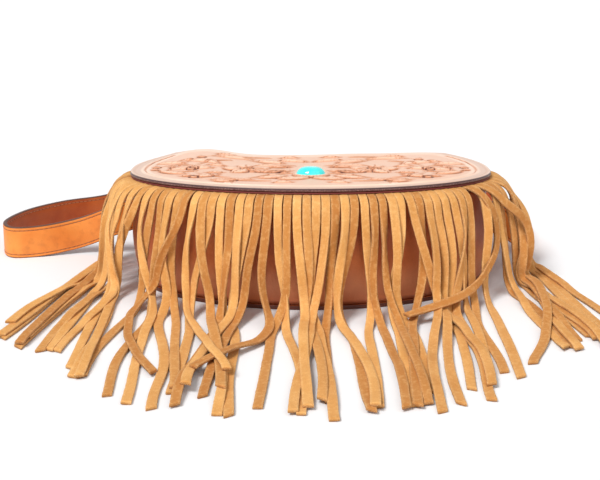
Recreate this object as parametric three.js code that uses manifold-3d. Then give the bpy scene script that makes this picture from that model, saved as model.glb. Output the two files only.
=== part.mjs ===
// A half-round shoulder bag of tooled leather with a long suede fringe, lying on its back.
// Millimetres, +Z up. X runs along the bag's width and the flap's curved rim faces -Y.
// The origin is the middle of the back panel's outer face, on the surface it lies on.
import * as THREE from "three";
import { mergeVertices } from "three/addons/utils/BufferGeometryUtils.js";
import Module from "manifold-3d";

const wasm = await Module();
wasm.setup();

// Driving dimensions: the bag
const flapHalfWidth = 136;
const flapNearDepth = 88;
const mouthY = 84;
const mouthHalfWidth = 103;
const flapOverhang = 3.5;
const bodyNearHeight = 85;
const bodyMouthHeight = 66;
const gussetBulge = 4;
const gussetProud = 1;
const sideShare = 0.24;
const sideNarrowing = 2.5;

// Driving dimensions: leather
const backPanelThickness = 3;
const frontPanelThickness = 2.6;
const gussetThickness = 2.4;
const flapThickness = 2.8;
const liningThickness = 1.2;
const headerThickness = 1.7;
const strandThickness = 1.4;
const seatGap = 0.3;
const bendInnerRadius = 9;
const coverClearance = 1;
const coverSeatGap = 0.4;
const coverLap = 4;
const faceLap = 2;
const liningInset = 0.6;
const liningShort = 4;

// Driving dimensions: the fringe
const strandPitch = 6.5;
const slitWidth = 0.5;
const strandWidth = strandPitch - slitWidth;
const strandLength = 236;
const strandLengthSpread = 24;
const fringeReachPastTips = 26;
const headerWidth = 12;
const headerInset = 2;
const headerRise = 0.4;
const fringeStripCount = 9;
const archRadius = 8;
const extraArchAtTips = 6;
const footRadius = 27;
const fallAngle = 80;
const tableGap = 0.5;
const layerGap = 0.55;
const strandTuck = 3;
const longestRun = strandLength + strandLengthSpread + 15;
const turnLength = 12;
const sideSpread = 0.14;
const splayPerExcess = 0.007;
const leastFan = 0.35;
const swayStart = 14;
const clumpLean = 14;
const driftReach = 22;
const shortestStretch = 4;
const tighterFootAtTips = 13;
const outwardSwayAtTips = 14;
const flareLength = 46;
const flareAngle = 13;
const clumpWidth = 24;
const clumpSway = 7;
const sideGap = 0.7;
const chosenLift = 0.9;
// Strands that lie on a way of their own: pairs of the run, which is the distance from the rim
// down the drape, and how far to the side of its root the strand lies there.
const chosenSways = {
  17: [[14, 0], [70, -19], [95, -33], [113, -38], [150, -35], [185, -22], [206, -4]],
  18: [[14, 0], [60, -3], [95, -1], [112, 9], [160, 22], [196, 38]],
  26: [[14, 0], [60, -4], [105, 4], [125, -2], [160, -24], [198, -46]],
  49: [[14, 8], [32, 18], [50, 16], [64, 2], [78, -14], [90, -30], [96, -50], [99, -72], [103, -92]],
  51: [[14, 6], [40, 30], [80, 42], [118, 46], [150, 40], [184, 22], [214, -4]],
};

// Driving dimensions: the stone and its seat
const stoneHalfLength = 11;
const stoneHalfWidth = 8.5;
const stoneHeight = 7.5;
const stoneY = -26;
const stoneX = 0;
const stoneSeatDepth = 1.4;
const stoneGirdle = 1.2;
const collarWidth = 3;

// Driving dimensions: the carving
const reliefHeight = 1.3;
const reliefRoot = 0.6;
const flowerCentreRise = 0.5;
const flowerCentreRadius = 5;
const borderInset = 9;
const borderWidth = 1.8;
const borderHeight = 0.7;
const borderEndGap = 20;

// Driving dimensions: the strap
const strapWidth = 25;
const strapThickness = 3.4;
const strapAnchorHeight = 36;
const strapRestHeight = strapWidth / 2 + seatGap;

// Driving dimensions: the snap under the flap
const snapRadius = 8;
const snapSocketThickness = 0.8;
const snapStudThickness = 0.6;
const snapY = -52;

const colours = {
  tooled: 0xf0cdb4,
  smooth: 0x8c4123,
  lining: 0x5a2420,
  suede: 0xe6b06c,
  strap: 0xc46a33,
  stone: 0x1fcfd0,
  metal: 0xb8a888,
};

const leather = (name) => new THREE.MeshStandardMaterial({ color: colours[name], roughness: 0.55 });
const suede = () => new THREE.MeshStandardMaterial({ color: colours.suede, roughness: 0.95 });
const stone = () => new THREE.MeshStandardMaterial({ color: colours.stone, roughness: 0.2 });
const metal = () => new THREE.MeshStandardMaterial({ color: colours.metal, roughness: 0.35, metalness: 1 });

const radians = THREE.MathUtils.degToRad;
const smooth = (t) => THREE.MathUtils.smoothstep(t, 0, 1);

// Solids

function solidOf(geometry) {
  const bare = geometry.index ? geometry.toNonIndexed() : geometry.clone();
  bare.deleteAttribute("normal");
  bare.deleteAttribute("uv");
  const merged = mergeVertices(bare, 1e-3);
  const kept = [];
  const index = merged.index.array;
  for (let i = 0; i < index.length; i += 3) {
    const [a, b, c] = [index[i], index[i + 1], index[i + 2]];
    if (a !== b && b !== c && c !== a) kept.push(a, b, c);
  }
  const mesh = new wasm.Mesh({
    numProp: 3,
    vertProperties: new Float32Array(merged.attributes.position.array),
    triVerts: new Uint32Array(kept),
  });
  return new wasm.Manifold(mesh);
}

function geometryOf(solid) {
  const mesh = solid.getMesh();
  const geometry = new THREE.BufferGeometry();
  geometry.setAttribute("position", new THREE.BufferAttribute(mesh.vertProperties, mesh.numProp));
  geometry.setIndex(new THREE.BufferAttribute(mesh.triVerts, 1));
  const flat = geometry.toNonIndexed();
  flat.computeVertexNormals();
  return flat;
}

function joined(geometries) {
  return geometries.map(solidOf).reduce((whole, next) => whole.add(next));
}

// A flat piece with the given outline, from one height to another.
function prism(outline, low, high, frame) {
  const shape = new THREE.Shape(outline.map(([x, y]) => new THREE.Vector2(x, y)));
  const geometry = new THREE.ExtrudeGeometry(shape, { depth: high - low, bevelEnabled: false });
  geometry.translate(0, 0, low);
  if (frame) geometry.applyMatrix4(frame);
  return geometry;
}

// A bent sheet: sections is a list of closed rings of points, each with the same count.
function skinned(sections) {
  const count = sections[0].length;
  const points = sections.flat();
  const index = [];
  for (let i = 0; i + 1 < sections.length; i += 1) {
    for (let j = 0; j < count; j += 1) {
      const a = i * count + j;
      const b = i * count + ((j + 1) % count);
      index.push(a, b, a + count, b, b + count, a + count);
    }
  }
  const last = (sections.length - 1) * count;
  for (let j = 1; j + 1 < count; j += 1) {
    index.push(0, j + 1, j);
    index.push(last, last + j, last + j + 1);
  }
  const geometry = new THREE.BufferGeometry().setFromPoints(points);
  geometry.setIndex(index);
  const solid = solidOf(geometry);
  if (solid.volume() > 0) return geometry;
  for (let i = 0; i < index.length; i += 3) [index[i], index[i + 1]] = [index[i + 1], index[i]];
  geometry.setIndex(index);
  return geometry;
}

// Outlines

// The plan of the flap, drawn in by an inset: half an ellipse towards -Y, and sides that
// close in towards the mouth. Places run from -1 at the mouth's left end to 1 at its right.
function planPoint(place, inset) {
  const width = flapHalfWidth - inset;
  const depth = flapNearDepth - inset;
  const turn = Math.sign(place) || 1;
  const along = Math.abs(place);
  const ellipseShare = 1 - sideShare;
  if (along <= ellipseShare) {
    const angle = (along / ellipseShare) * (Math.PI / 2);
    return [turn * width * Math.sin(angle), -depth * Math.cos(angle)];
  }
  const up = (along - ellipseShare) / sideShare;
  const narrowing = (flapHalfWidth - mouthHalfWidth) * up ** sideNarrowing;
  return [turn * (width - narrowing), up * mouthY];
}

function planOutline(inset, steps) {
  const points = [];
  for (let i = 0; i <= steps; i += 1) points.push(planPoint(-1 + (2 * i) / steps, inset));
  return points;
}

// The slope of the bag's face, which is thicker at its near end than at its mouth
const faceSlope = Math.atan((bodyNearHeight - bodyMouthHeight) / (flapNearDepth + mouthY));
const faceMidHeight =
  bodyMouthHeight + ((bodyNearHeight - bodyMouthHeight) * mouthY) / (flapNearDepth + mouthY);
const faceFrame = new THREE.Matrix4()
  .makeRotationX(-faceSlope)
  .setPosition(0, 0, faceMidHeight);

const faceHeight = (y, rise) => faceMidHeight - y * Math.tan(faceSlope) + rise / Math.cos(faceSlope);

const bodyOutline = planOutline(flapOverhang, 40);
const flapOutline = planOutline(0, 56);

// Heights of the layers above the front panel's outer face
const headerLow = headerRise;
const headerHigh = headerLow + headerThickness;
const liningLow = headerHigh + seatGap;
const liningHigh = liningLow + liningThickness;
const flapLow = liningHigh + seatGap;
const flapHigh = flapLow + flapThickness;

// Panels and gusset

function backPanel() {
  return joined([prism(bodyOutline, 0, backPanelThickness)]);
}

function frontPanel() {
  return joined([prism(bodyOutline, -frontPanelThickness, 0, faceFrame)]);
}

function gusset() {
  const sections = [];
  const rings = 30;
  const levels = 3;
  const lastPlace = 0.995;
  for (let i = 0; i <= rings; i += 1) {
    const place = lastPlace * (-1 + (2 * i) / rings);
    const outer = [];
    const inner = [];
    for (let j = 0; j <= levels; j += 1) {
      const up = j / levels;
      const bulge = gussetBulge * Math.sin(Math.PI * up) - gussetProud;
      const [ox, oy] = planPoint(place, flapOverhang - bulge);
      const [ix, iy] = planPoint(place, flapOverhang - bulge + gussetThickness);
      const low = backPanelThickness + seatGap;
      const high = (y) => faceHeight(y, -frontPanelThickness - seatGap);
      outer.push(new THREE.Vector3(ox, oy, low + (high(oy) - low) * up));
      inner.push(new THREE.Vector3(ix, iy, low + (high(iy) - low) * up));
    }
    sections.push([...outer, ...inner.reverse()]);
  }
  return joined([skinned(sections)]);
}

// The flap: a tooled face, bent down over the mouth to its hinge line on the back panel

const bendCentreY = mouthY + coverClearance - bendInnerRadius;
const coverEnd = backPanelThickness + coverSeatGap;
const bendCentreZ =
  faceHeight(bendCentreY + bendInnerRadius * Math.sin(faceSlope), flapLow) -
  bendInnerRadius * Math.cos(faceSlope);

// The section of the bend and the cover over the mouth, in the YZ plane
function coverSection() {
  const bendSteps = 8;
  const inner = [];
  const outer = [];
  const outerRadius = bendInnerRadius + flapThickness;
  for (let i = 0; i <= bendSteps; i += 1) {
    const angle = faceSlope + ((Math.PI / 2 - faceSlope) * i) / bendSteps;
    const [sine, cosine] = [Math.sin(angle), Math.cos(angle)];
    inner.push([bendCentreY + bendInnerRadius * sine, bendCentreZ + bendInnerRadius * cosine]);
    outer.push([bendCentreY + outerRadius * sine, bendCentreZ + outerRadius * cosine]);
  }
  const back = ([y, z]) => [y - coverLap * Math.cos(faceSlope), z + coverLap * Math.sin(faceSlope)];
  inner.unshift(back(inner[0]));
  outer.unshift(back(outer[0]));
  inner.push([bendCentreY + bendInnerRadius, coverEnd]);
  outer.push([bendCentreY + outerRadius, coverEnd]);
  return [...inner, ...outer.reverse()];
}

// A prism along X, for a section that bends, made with its true triangulation
function alongX(profile, halfWidth) {
  const geometry = prism(profile, -halfWidth, halfWidth);
  const turn = new THREE.Matrix4().makeBasis(
    new THREE.Vector3(0, 1, 0),
    new THREE.Vector3(0, 0, 1),
    new THREE.Vector3(1, 0, 0),
  );
  geometry.applyMatrix4(turn);
  return geometry;
}

// Carving: traditional scrolling leaves and five-petalled flowers, in low relief.
// A leaf starts at a point, runs at an angle, and curls by an angle over its length.
function leafOutline(x, y, angle, length, width, curl) {
  const steps = 4;
  const left = [];
  const right = [];
  let [px, py] = [x, y];
  for (let i = 0; i <= steps; i += 1) {
    const t = i / steps;
    const heading = radians(angle + curl * t);
    const half = (width / 2) * Math.sin(Math.PI * Math.min(1, 0.08 + 0.92 * t)) ** 0.8;
    left.push([px - Math.sin(heading) * half, py + Math.cos(heading) * half]);
    right.push([px + Math.sin(heading) * half, py - Math.cos(heading) * half]);
    px += (Math.cos(heading) * length) / steps;
    py += (Math.sin(heading) * length) / steps;
  }
  right.pop();
  return [...right, ...left.reverse()];
}

// Leaves of one half of the flap: x, y, angle, length, width, curl. The other half mirrors them.
const leaves = [
  [16, -4, -35, 30, 11, 60],
  [17, 12, 50, 28, 10, -70],
  [70, -22, -60, 24, 9, 80],
  [76, 6, 10, 34, 11, -55],
  [72, 24, 60, 26, 10, -90],
  [20, -28, -60, 24, 9, 70],
  [22, 32, 55, 24, 9, -60],
  [94, -18, 5, 24, 8, 60],
  [98, 24, 40, 22, 8, -80],
  [44, -44, -20, 30, 8, 40],
  [46, 50, 20, 30, 8, -40],
  [2, -36, -50, 26, 9, 80],
  [4, 40, 50, 24, 9, -70],
];
const flowers = [[48, 2, 19]];
const petals = 5;

const petalStart = 4;
const petalWidthShare = 0.72;
const petalCurl = 36;

// A flower's petals and its round centre, each with how far it stands up
function flowerOutlines([x, y, radius]) {
  const outlines = [];
  for (let i = 0; i < petals; i += 1) {
    const angle = 90 + (360 * i) / petals;
    const startX = x + petalStart * Math.cos(radians(angle));
    const startY = y + petalStart * Math.sin(radians(angle));
    const width = radius * petalWidthShare;
    const outline = leafOutline(startX, startY, angle - petalCurl / 2, radius - petalStart, width, petalCurl);
    outlines.push([outline, reliefHeight]);
  }
  const centre = ellipse(x, y, flowerCentreRadius, flowerCentreRadius, 10);
  outlines.push([centre, reliefHeight + flowerCentreRise]);
  return outlines;
}

function carving() {
  const leafShapes = leaves.map((leaf) => [leafOutline(...leaf), reliefHeight]);
  const half = [...leafShapes, ...flowers.flatMap(flowerOutlines)];
  const collar = ellipse(stoneX, stoneY, stoneHalfLength + collarWidth, stoneHalfWidth + collarWidth, 24);
  const low = flapHigh - reliefRoot;
  const pieces = [prism(collar, low, flapHigh + reliefHeight, faceFrame)];
  for (const side of [-1, 1]) {
    for (const [outline, height] of half) {
      const placed = outline.map(([x, y]) => [side * x, y]);
      pieces.push(prism(placed, low, flapHigh + height, faceFrame));
    }
  }
  return pieces;
}

function ellipse(x, y, halfLength, halfWidth, steps) {
  const points = [];
  for (let i = 0; i < steps; i += 1) {
    const angle = (2 * Math.PI * i) / steps;
    points.push([x + halfLength * Math.cos(angle), y + halfWidth * Math.sin(angle)]);
  }
  return points;
}

// The raised bead that runs along the face, inside its rim
function border() {
  const outer = planOutline(borderInset, 28);
  const inner = planOutline(borderInset + borderWidth, 28);
  const nearSide = (points) => points.filter(([, y]) => y < mouthY - borderEndGap);
  const band = [...nearSide(outer), ...nearSide(inner).reverse()];
  return prism(band, flapHigh - reliefRoot, flapHigh + borderHeight, faceFrame);
}

function flap() {
  const faceOutline = flapOutline.map(([x, y]) => [x, Math.min(y, bendCentreY + faceLap)]);
  const face = prism(faceOutline, flapLow, flapHigh, faceFrame);
  const seat = prism(
    ellipse(stoneX, stoneY, stoneHalfLength + seatGap, stoneHalfWidth + seatGap, 28),
    flapHigh - stoneSeatDepth,
    flapHigh + stoneHeight,
    faceFrame,
  );
  const bend = alongX(coverSection(), mouthHalfWidth);
  return joined([face, bend, border(), ...carving()]).subtract(solidOf(seat));
}

function lining() {
  const endY = bendCentreY - liningShort;
  const outline = planOutline(liningInset, 40).map(([x, y]) => [x, Math.min(y, endY)]);
  return joined([prism(outline, liningLow, liningHigh, faceFrame)]);
}

// An oval dome on a short upright girdle
function cabochon() {
  const sections = [];
  const rings = 5;
  const crownShare = 0.92;
  const topShare = 0.12;
  for (let i = 0; i <= rings; i += 1) {
    const t = i / rings;
    const share = i === rings ? topShare : Math.sqrt(1 - (crownShare * t) ** 2);
    const rise = i === 0 ? 0 : stoneGirdle + (stoneHeight - stoneGirdle) * t;
    const height = flapHigh - stoneSeatDepth + seatGap + rise;
    const ring = ellipse(stoneX, stoneY, stoneHalfLength * share, stoneHalfWidth * share, 20);
    sections.push(ring.map(([x, y]) => new THREE.Vector3(x, y, height).applyMatrix4(faceFrame)));
  }
  return joined([skinned(sections)]);
}

function disc(radius, low, high) {
  return joined([prism(ellipse(0, snapY, radius, radius, 16), low, high, faceFrame)]);
}

// The fringe

// Lengths along the rim, from the left end of the fringe to its right end
const rimSamples = [];
const rimSteps = 800;
for (let i = 0; i <= rimSteps; i += 1) {
  const place = -1 + (2 * i) / rimSteps;
  const [x, y] = planPoint(place, 0);
  const last = rimSamples[rimSamples.length - 1];
  const length = last ? last.length + Math.hypot(x - last.x, y - last.y) : 0;
  rimSamples.push({ place, x, y, length });
}
const rimOfReach = rimSamples.filter(({ y }) => y <= fringeReachPastTips);
const rimStart = rimOfReach[0].length;
const rimEnd = rimOfReach[rimOfReach.length - 1].length;
const strandCount = Math.floor((rimEnd - rimStart) / strandPitch);
const firstRoot = (rimStart + rimEnd - (strandCount - 1) * strandPitch) / 2;

function rimAt(length) {
  const after = rimSamples.findIndex((sample) => sample.length >= length);
  const [a, b] = [rimSamples[after - 1], rimSamples[after]];
  const t = (length - a.length) / (b.length - a.length);
  const along = new THREE.Vector2(b.x - a.x, b.y - a.y).normalize();
  return {
    place: a.place + (b.place - a.place) * t,
    x: a.x + (b.x - a.x) * t,
    y: a.y + (b.y - a.y) * t,
    outX: along.y,
    outY: -along.x,
  };
}

// A repeatable number from 0 to 1 for each strand and purpose
const layout = 87;
function chance(strand, purpose) {
  const value = Math.sin((strand + 100 * layout) * 12.9898 + purpose * 78.233) * 43758.5453;
  return value - Math.floor(value);
}
const between = (strand, purpose, low, high) => low + (high - low) * chance(strand, purpose);

// The surface that the strands lie on: out from the rim, over an arch, down past the gusset,
// round a foot and along the table. A place on it is a length along the rim and a run, the
// distance from the rim. Lengths past the fringe's ends splay further out on the table.
const lineMemory = new Map();
const keysPerLength = 8;

function drapeLine(rimLength) {
  const key = Math.round(rimLength * keysPerLength);
  if (lineMemory.has(key)) return lineMemory.get(key);
  const wanted = key / keysPerLength;
  const rooted = Math.min(Math.max(wanted, rimStart), rimEnd);
  const root = rimAt(rooted);
  const outAngle = Math.atan2(root.outX, -root.outY);
  const quarter = Math.abs(outAngle) / (Math.PI / 2);
  const tableAngle = sideSpread * outAngle * quarter ** 1.2 + (wanted - rooted) * splayPerExcess;
  const arch = archRadius + extraArchAtTips * root.outX ** 2;
  const foot = footRadius - tighterFootAtTips * root.outX ** 2;
  const flare = flareAngle * smooth((rooted - rimEnd + flareLength) / flareLength);
  const fall = radians(fallAngle - flare);
  const at = new THREE.Vector3(root.x - root.outX * strandTuck, root.y - root.outY * strandTuck, 0);
  at.z = faceHeight(at.y, headerLow + (headerThickness - strandThickness) / 2);
  const drop = at.z - tableGap;
  const straight = (drop - (arch + foot) * (1 - Math.cos(fall))) / Math.sin(fall);
  const archEnd = arch * fall;
  const footStart = archEnd + straight;
  const footEnd = footStart + foot * fall;
  const points = [];
  for (let run = -strandTuck; run <= longestRun; run += 1) {
    points.push(at.clone());
    let pitch = 0;
    if (run > 0 && run < archEnd) pitch = run / arch;
    else if (run >= archEnd && run < footStart) pitch = fall;
    else if (run >= footStart && run < footEnd) pitch = fall - (run - footStart) / foot;
    const turn = smooth((run - archEnd) / (footEnd - archEnd + turnLength));
    const angle = outAngle + (tableAngle - outAngle) * turn;
    at.x += Math.sin(angle) * Math.cos(pitch);
    at.y -= Math.cos(angle) * Math.cos(pitch);
    at.z = Math.max(tableGap, at.z - Math.sin(pitch));
  }
  lineMemory.set(key, points);
  return points;
}

function drapeAt(rimLength, run) {
  const points = drapeLine(rimLength);
  const place = Math.min(Math.max(run + strandTuck, 0), points.length - 1.001);
  const below = Math.floor(place);
  return points[below].clone().lerp(points[below + 1], place - below);
}

// Runs at which the strands bend, close together where the surface does
const stops = [-strandTuck, 5, 14, 40, 66, 86, 106, 144, 186, longestRun - 1];

// A place on the flat facets between the bends, where every strand lies
function facetAt(rimLength, run) {
  const after = Math.max(1, stops.findIndex((stop) => stop >= run));
  const [from, to] = [stops[after - 1], stops[after]];
  return drapeAt(rimLength, from).lerp(drapeAt(rimLength, to), (run - from) / (to - from));
}

// The surface's own upward direction at a place, and how far the strands fan out there
function drapeFrame(rimLength, run) {
  const across = drapeAt(rimLength + 1, run).sub(drapeAt(rimLength - 1, run)).multiplyScalar(0.5);
  const along = drapeAt(rimLength, run + 1).sub(drapeAt(rimLength, run - 1)).normalize();
  const fan = Math.max(leastFan, across.length());
  const up = new THREE.Vector3().crossVectors(along, across.normalize()).normalize();
  if (up.z < 0) up.negate();
  return { at: facetAt(rimLength, run), fan, up };
}

// How strands sway sideways: neighbours lean together in clumps, those at the tips stray
// outwards, and each has its own drift and wave
function clumpAt(rimLength, purpose) {
  const place = rimLength / clumpWidth;
  const low = Math.floor(place);
  const t = smooth(place - low);
  return (1 - t) * between(low, purpose, -1, 1) + t * between(low + 1, purpose, -1, 1);
}

function chosenSway(sways, run) {
  const after = sways.findIndex(([place]) => place > run);
  if (after < 0) return sways[sways.length - 1][1];
  if (after === 0) return 0;
  const [[fromRun, from], [toRun, to]] = [sways[after - 1], sways[after]];
  return from + (to - from) * smooth((run - fromRun) / (toRun - fromRun));
}

function sway(strand, rimLength, run) {
  if (chosenSways[strand]) return chosenSway(chosenSways[strand], run);
  const { outX } = rimAt(rimLength);
  const clump = clumpAt(rimLength, 21) * clumpSway * smooth((run - swayStart) / 50);
  const stray = outX ** 4 * between(strand, 7, -0.3, 1) * outwardSwayAtTips;
  const outward = Math.sign(outX) * stray * smooth((run - 60) / 150);
  const lean = clumpAt(rimLength, 22) * clumpLean * smooth((run - 60) / 150);
  const drift = between(strand, 2, -driftReach, driftReach) * smooth((run - 30) / 200);
  const turns = run / between(strand, 4, 110, 230) + chance(strand, 5);
  const wave = between(strand, 3, 2, 7) * Math.sin(2 * Math.PI * turns);
  return clump + outward + lean + drift + wave * smooth((run - swayStart) / 90);
}

// Where a strand bends: its run, its length along the rim, and its lift off the surface
function strandPath(strand) {
  const root = firstRoot + strand * strandPitch;
  const chosen = chosenSways[strand];
  const ownLength = strandLength + between(strand, 6, -strandLengthSpread, strandLengthSpread);
  const length = chosen ? chosen[chosen.length - 1][0] : ownLength;
  const ownStops = chosen ? chosen.slice(1, -1).map(([run]) => run) : [];
  const sorted = [...stops, ...ownStops].sort((a, b) => a - b);
  const runs = sorted.filter((run, i) => run < length - shortestStretch && run !== sorted[i - 1]);
  runs.push(length);
  const places = runs.map((run) => {
    const { fan } = drapeFrame(root, run);
    const rimLength = root + sway(strand, root, run) / fan;
    return { run, rimLength, lift: 0, ...drapeFrame(rimLength, run) };
  });
  return { strand, places };
}

function placeAt({ places }, run) {
  const end = places.length - 1;
  const held = Math.min(run, places[end].run);
  const after = Math.max(1, places.findIndex((place) => place.run >= held));
  const [a, b] = [places[after - 1], places[after]];
  const t = (held - a.run) / (b.run - a.run);
  return {
    rimLength: a.rimLength + (b.rimLength - a.rimLength) * t,
    lift: a.lift + (b.lift - a.lift) * t,
    fan: a.fan + (b.fan - a.fan) * t,
    slant: Math.hypot(1, ((b.rimLength - a.rimLength) * a.fan) / (b.run - a.run)),
  };
}

// Whether a strand lies across another one anywhere between two runs
function crosses(path, other, fromRun, toRun) {
  const tests = 4;
  for (let k = 0; k <= tests; k += 1) {
    const run = fromRun + ((toRun - fromRun) * k) / tests;
    const a = placeAt(path, run);
    const b = placeAt(other, run);
    const apart = Math.abs(a.rimLength - b.rimLength) * a.fan;
    if (apart < (strandWidth / 2) * (a.slant + b.slant) + sideGap) return true;
  }
  return false;
}

// Lifts a strand over those already laid, wherever they share a stretch
function layOver(path, laid) {
  const { places, strand } = path;
  const step = strandThickness + layerGap + (chosenSways[strand] ? chosenLift : 0);
  for (let j = 0; j + 1 < places.length; j += 1) {
    const [from, to] = [places[j], places[j + 1]];
    if (to.run <= swayStart) continue;
    for (const other of laid) {
      const otherEnd = other.places[other.places.length - 1].run;
      const reach = Math.min(to.run, otherEnd + 2);
      if (reach <= from.run || !crosses(path, other, from.run, to.run)) continue;
      if (from.run > archRadius) from.lift = Math.max(from.lift, placeAt(other, from.run).lift + step);
      to.lift = Math.max(to.lift, placeAt(other, to.run).lift + step);
    }
  }
}

function ribbon({ places }) {
  const raised = ({ at, up, lift }) => at.clone().addScaledVector(up, lift + strandThickness / 2);
  const centres = places.map(raised);
  const sections = places.map(({ up }, i) => {
    const before = centres[Math.max(0, i - 1)];
    const after = centres[Math.min(centres.length - 1, i + 1)];
    const along = after.clone().sub(before).normalize();
    const side = new THREE.Vector3().crossVectors(up, along).normalize();
    const corner = (s, u) => centres[i].clone()
      .addScaledVector(side, (s * strandWidth) / 2)
      .addScaledVector(up, (u * strandThickness) / 2);
    return [corner(-1, -1), corner(1, -1), corner(1, 1), corner(-1, 1)];
  });
  return skinned(sections);
}

function headerPiece(first, last) {
  const outer = [];
  const inner = [];
  const steps = 6;
  const from = firstRoot + (first - 0.5) * strandPitch + seatGap / 2;
  const to = firstRoot + (last + 0.5) * strandPitch - seatGap / 2;
  for (let i = 0; i <= steps; i += 1) {
    const point = rimAt(from + ((to - from) * i) / steps);
    outer.push([point.x - point.outX * headerInset, point.y - point.outY * headerInset]);
    inner.push([point.x - point.outX * headerWidth, point.y - point.outY * headerWidth]);
  }
  return prism([...outer, ...inner.reverse()], headerLow, headerHigh, faceFrame);
}

// The strands in the order they are laid down: at random, and the chosen ones on top
function strandPaths() {
  const lateness = (strand) => chance(strand, 9) + (chosenSways[strand] ? 1 : 0);
  const order = Array.from({ length: strandCount }, (_, i) => i);
  order.sort((a, b) => lateness(a) - lateness(b));
  const paths = [];
  const laid = [];
  for (const strand of order) {
    paths[strand] = strandPath(strand);
    layOver(paths[strand], laid);
    laid.push(paths[strand]);
  }
  return paths;
}

function fringeStrips() {
  const paths = strandPaths();
  const strips = [];
  for (let i = 0; i < fringeStripCount; i += 1) {
    const first = Math.round((strandCount * i) / fringeStripCount);
    const last = Math.round((strandCount * (i + 1)) / fringeStripCount) - 1;
    const pieces = [headerPiece(first, last)];
    for (let strand = first; strand <= last; strand += 1) pieces.push(ribbon(paths[strand]));
    strips.push(joined(pieces));
  }
  return strips;
}

// The strap: from the gusset's left side, out in a loop, round behind the bag to its right side.
// Each point is x, y and the height of the strap's middle.
const side = flapHalfWidth;
const rear = mouthY;
const anchor = strapAnchorHeight;
const rest = strapRestHeight;
const seatYs = [rear - 10, rear - 20, rear - 30];
const gussetSide = (y) => planPoint(1 - sideShare + (sideShare * y) / mouthY, flapOverhang + gussetProud)[0];
const seatX = (y) => gussetSide(y) + gussetBulge + 2 * seatGap + strapThickness / 2;
const strapPoints = [
  ...seatYs.map((y) => [-seatX(y), y, anchor]),
  [-side - 16, rear - 40, anchor - 6],
  [-side - 46, rear - 36, rest + 5],
  [-side - 80, rear - 44, rest],
  [-side - 100, rear - 46, rest],
  [-side - 107, rear - 32, rest],
  [-side - 96, rear, rest],
  [-side - 69, rear + 28, rest],
  [-side - 37, rear + 46, rest],
  [-side - 14, rear + 76, rest],
  [-side + 20, rear + 102, rest],
  [-side + 90, rear + 112, rest],
  [side - 90, rear + 112, rest],
  [side - 20, rear + 102, rest],
  [side + 13, rear + 72, rest],
  [side + 31, rear + 30, rest],
  [side + 35, rear - 14, rest],
  [side + 29, rear - 38, rest + 5],
  [side + 17, rear - 42, anchor - 8],
  ...seatYs.toReversed().map((y) => [seatX(y), y, anchor]),
];

function strap() {
  const points = strapPoints.map((point) => new THREE.Vector3(...point));
  const curve = new THREE.CatmullRomCurve3(points, false, "centripetal");
  const steps = 50;
  const sections = [];
  for (let i = 0; i <= steps; i += 1) {
    const centre = curve.getPointAt(i / steps);
    const along = curve.getTangentAt(i / steps);
    const out = new THREE.Vector3(along.y, -along.x, 0).normalize();
    const up = new THREE.Vector3(0, 0, 1);
    const corner = (o, u) => centre.clone()
      .addScaledVector(out, (o * strapThickness) / 2)
      .addScaledVector(up, (u * strapWidth) / 2);
    sections.push([corner(-1, -1), corner(1, -1), corner(1, 1), corner(-1, 1)]);
  }
  return joined([skinned(sections)]);
}

// The bag

const bag = new THREE.Group();
const add = (name, solid, material) => {
  const mesh = new THREE.Mesh(geometryOf(solid), material);
  mesh.name = name;
  bag.add(mesh);
};

add("back_panel", backPanel(), leather("smooth"));
add("front_panel", frontPanel(), leather("smooth"));
add("gusset", gusset(), leather("smooth"));
add("strap", strap(), leather("strap"));
add("snap_socket", disc(snapRadius, seatGap, seatGap + snapSocketThickness), metal());
add("snap_stud", disc(snapRadius, liningLow - seatGap - snapStudThickness, liningLow - seatGap), metal());
add("flap", flap(), leather("tooled"));
add("flap_lining", lining(), leather("lining"));
add("turquoise_stone", cabochon(), stone());
fringeStrips().forEach((strip, i) => add(`fringe_strip_${i + 1}`, strip, suede()));

export default bag;
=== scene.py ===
"""A fringed half-round shoulder bag on its back: leather, carving, stone, fringe, strap and light."""

import math

import bmesh
import bpy
import numpy as np
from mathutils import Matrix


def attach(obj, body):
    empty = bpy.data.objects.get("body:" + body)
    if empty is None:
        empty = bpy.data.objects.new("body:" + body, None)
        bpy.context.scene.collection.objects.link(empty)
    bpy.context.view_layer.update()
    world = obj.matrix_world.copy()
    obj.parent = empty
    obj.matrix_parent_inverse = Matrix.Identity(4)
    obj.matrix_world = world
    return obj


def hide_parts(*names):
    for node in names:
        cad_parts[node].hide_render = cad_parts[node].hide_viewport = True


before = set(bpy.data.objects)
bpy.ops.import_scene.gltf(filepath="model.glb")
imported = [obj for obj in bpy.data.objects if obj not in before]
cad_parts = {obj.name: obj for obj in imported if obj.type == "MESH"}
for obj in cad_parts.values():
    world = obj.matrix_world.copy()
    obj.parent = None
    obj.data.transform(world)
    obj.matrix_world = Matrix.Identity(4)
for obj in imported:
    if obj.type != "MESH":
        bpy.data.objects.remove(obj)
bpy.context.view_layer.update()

MM = 0.001

# Sizes of the bag in millimetres, the same as its solids have
FLAP_HALF_WIDTH = 136
FLAP_NEAR_DEPTH = 88
MOUTH_Y = 84
MOUTH_HALF_WIDTH = 103
FLAP_OVERHANG = 3.5
BODY_NEAR_HEIGHT = 85
BODY_MOUTH_HEIGHT = 66
GUSSET_BULGE = 4
GUSSET_PROUD = 1
SIDE_SHARE = 0.24
SIDE_NARROWING = 2.5
BACK_PANEL = 3
FRONT_PANEL = 2.6
GUSSET = 2.4
FLAP = 2.8
LINING = 1.2
HEADER = 1.7
STRAND = 1.4
SEAT_GAP = 0.3
LINING_INSET = 0.6
LINING_SHORT_OF_BEND = 4
HEADER_RISE = 0.4
BEND_RADIUS = 9
COVER_CLEARANCE = 1
COVER_END = BACK_PANEL + 0.4

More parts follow.
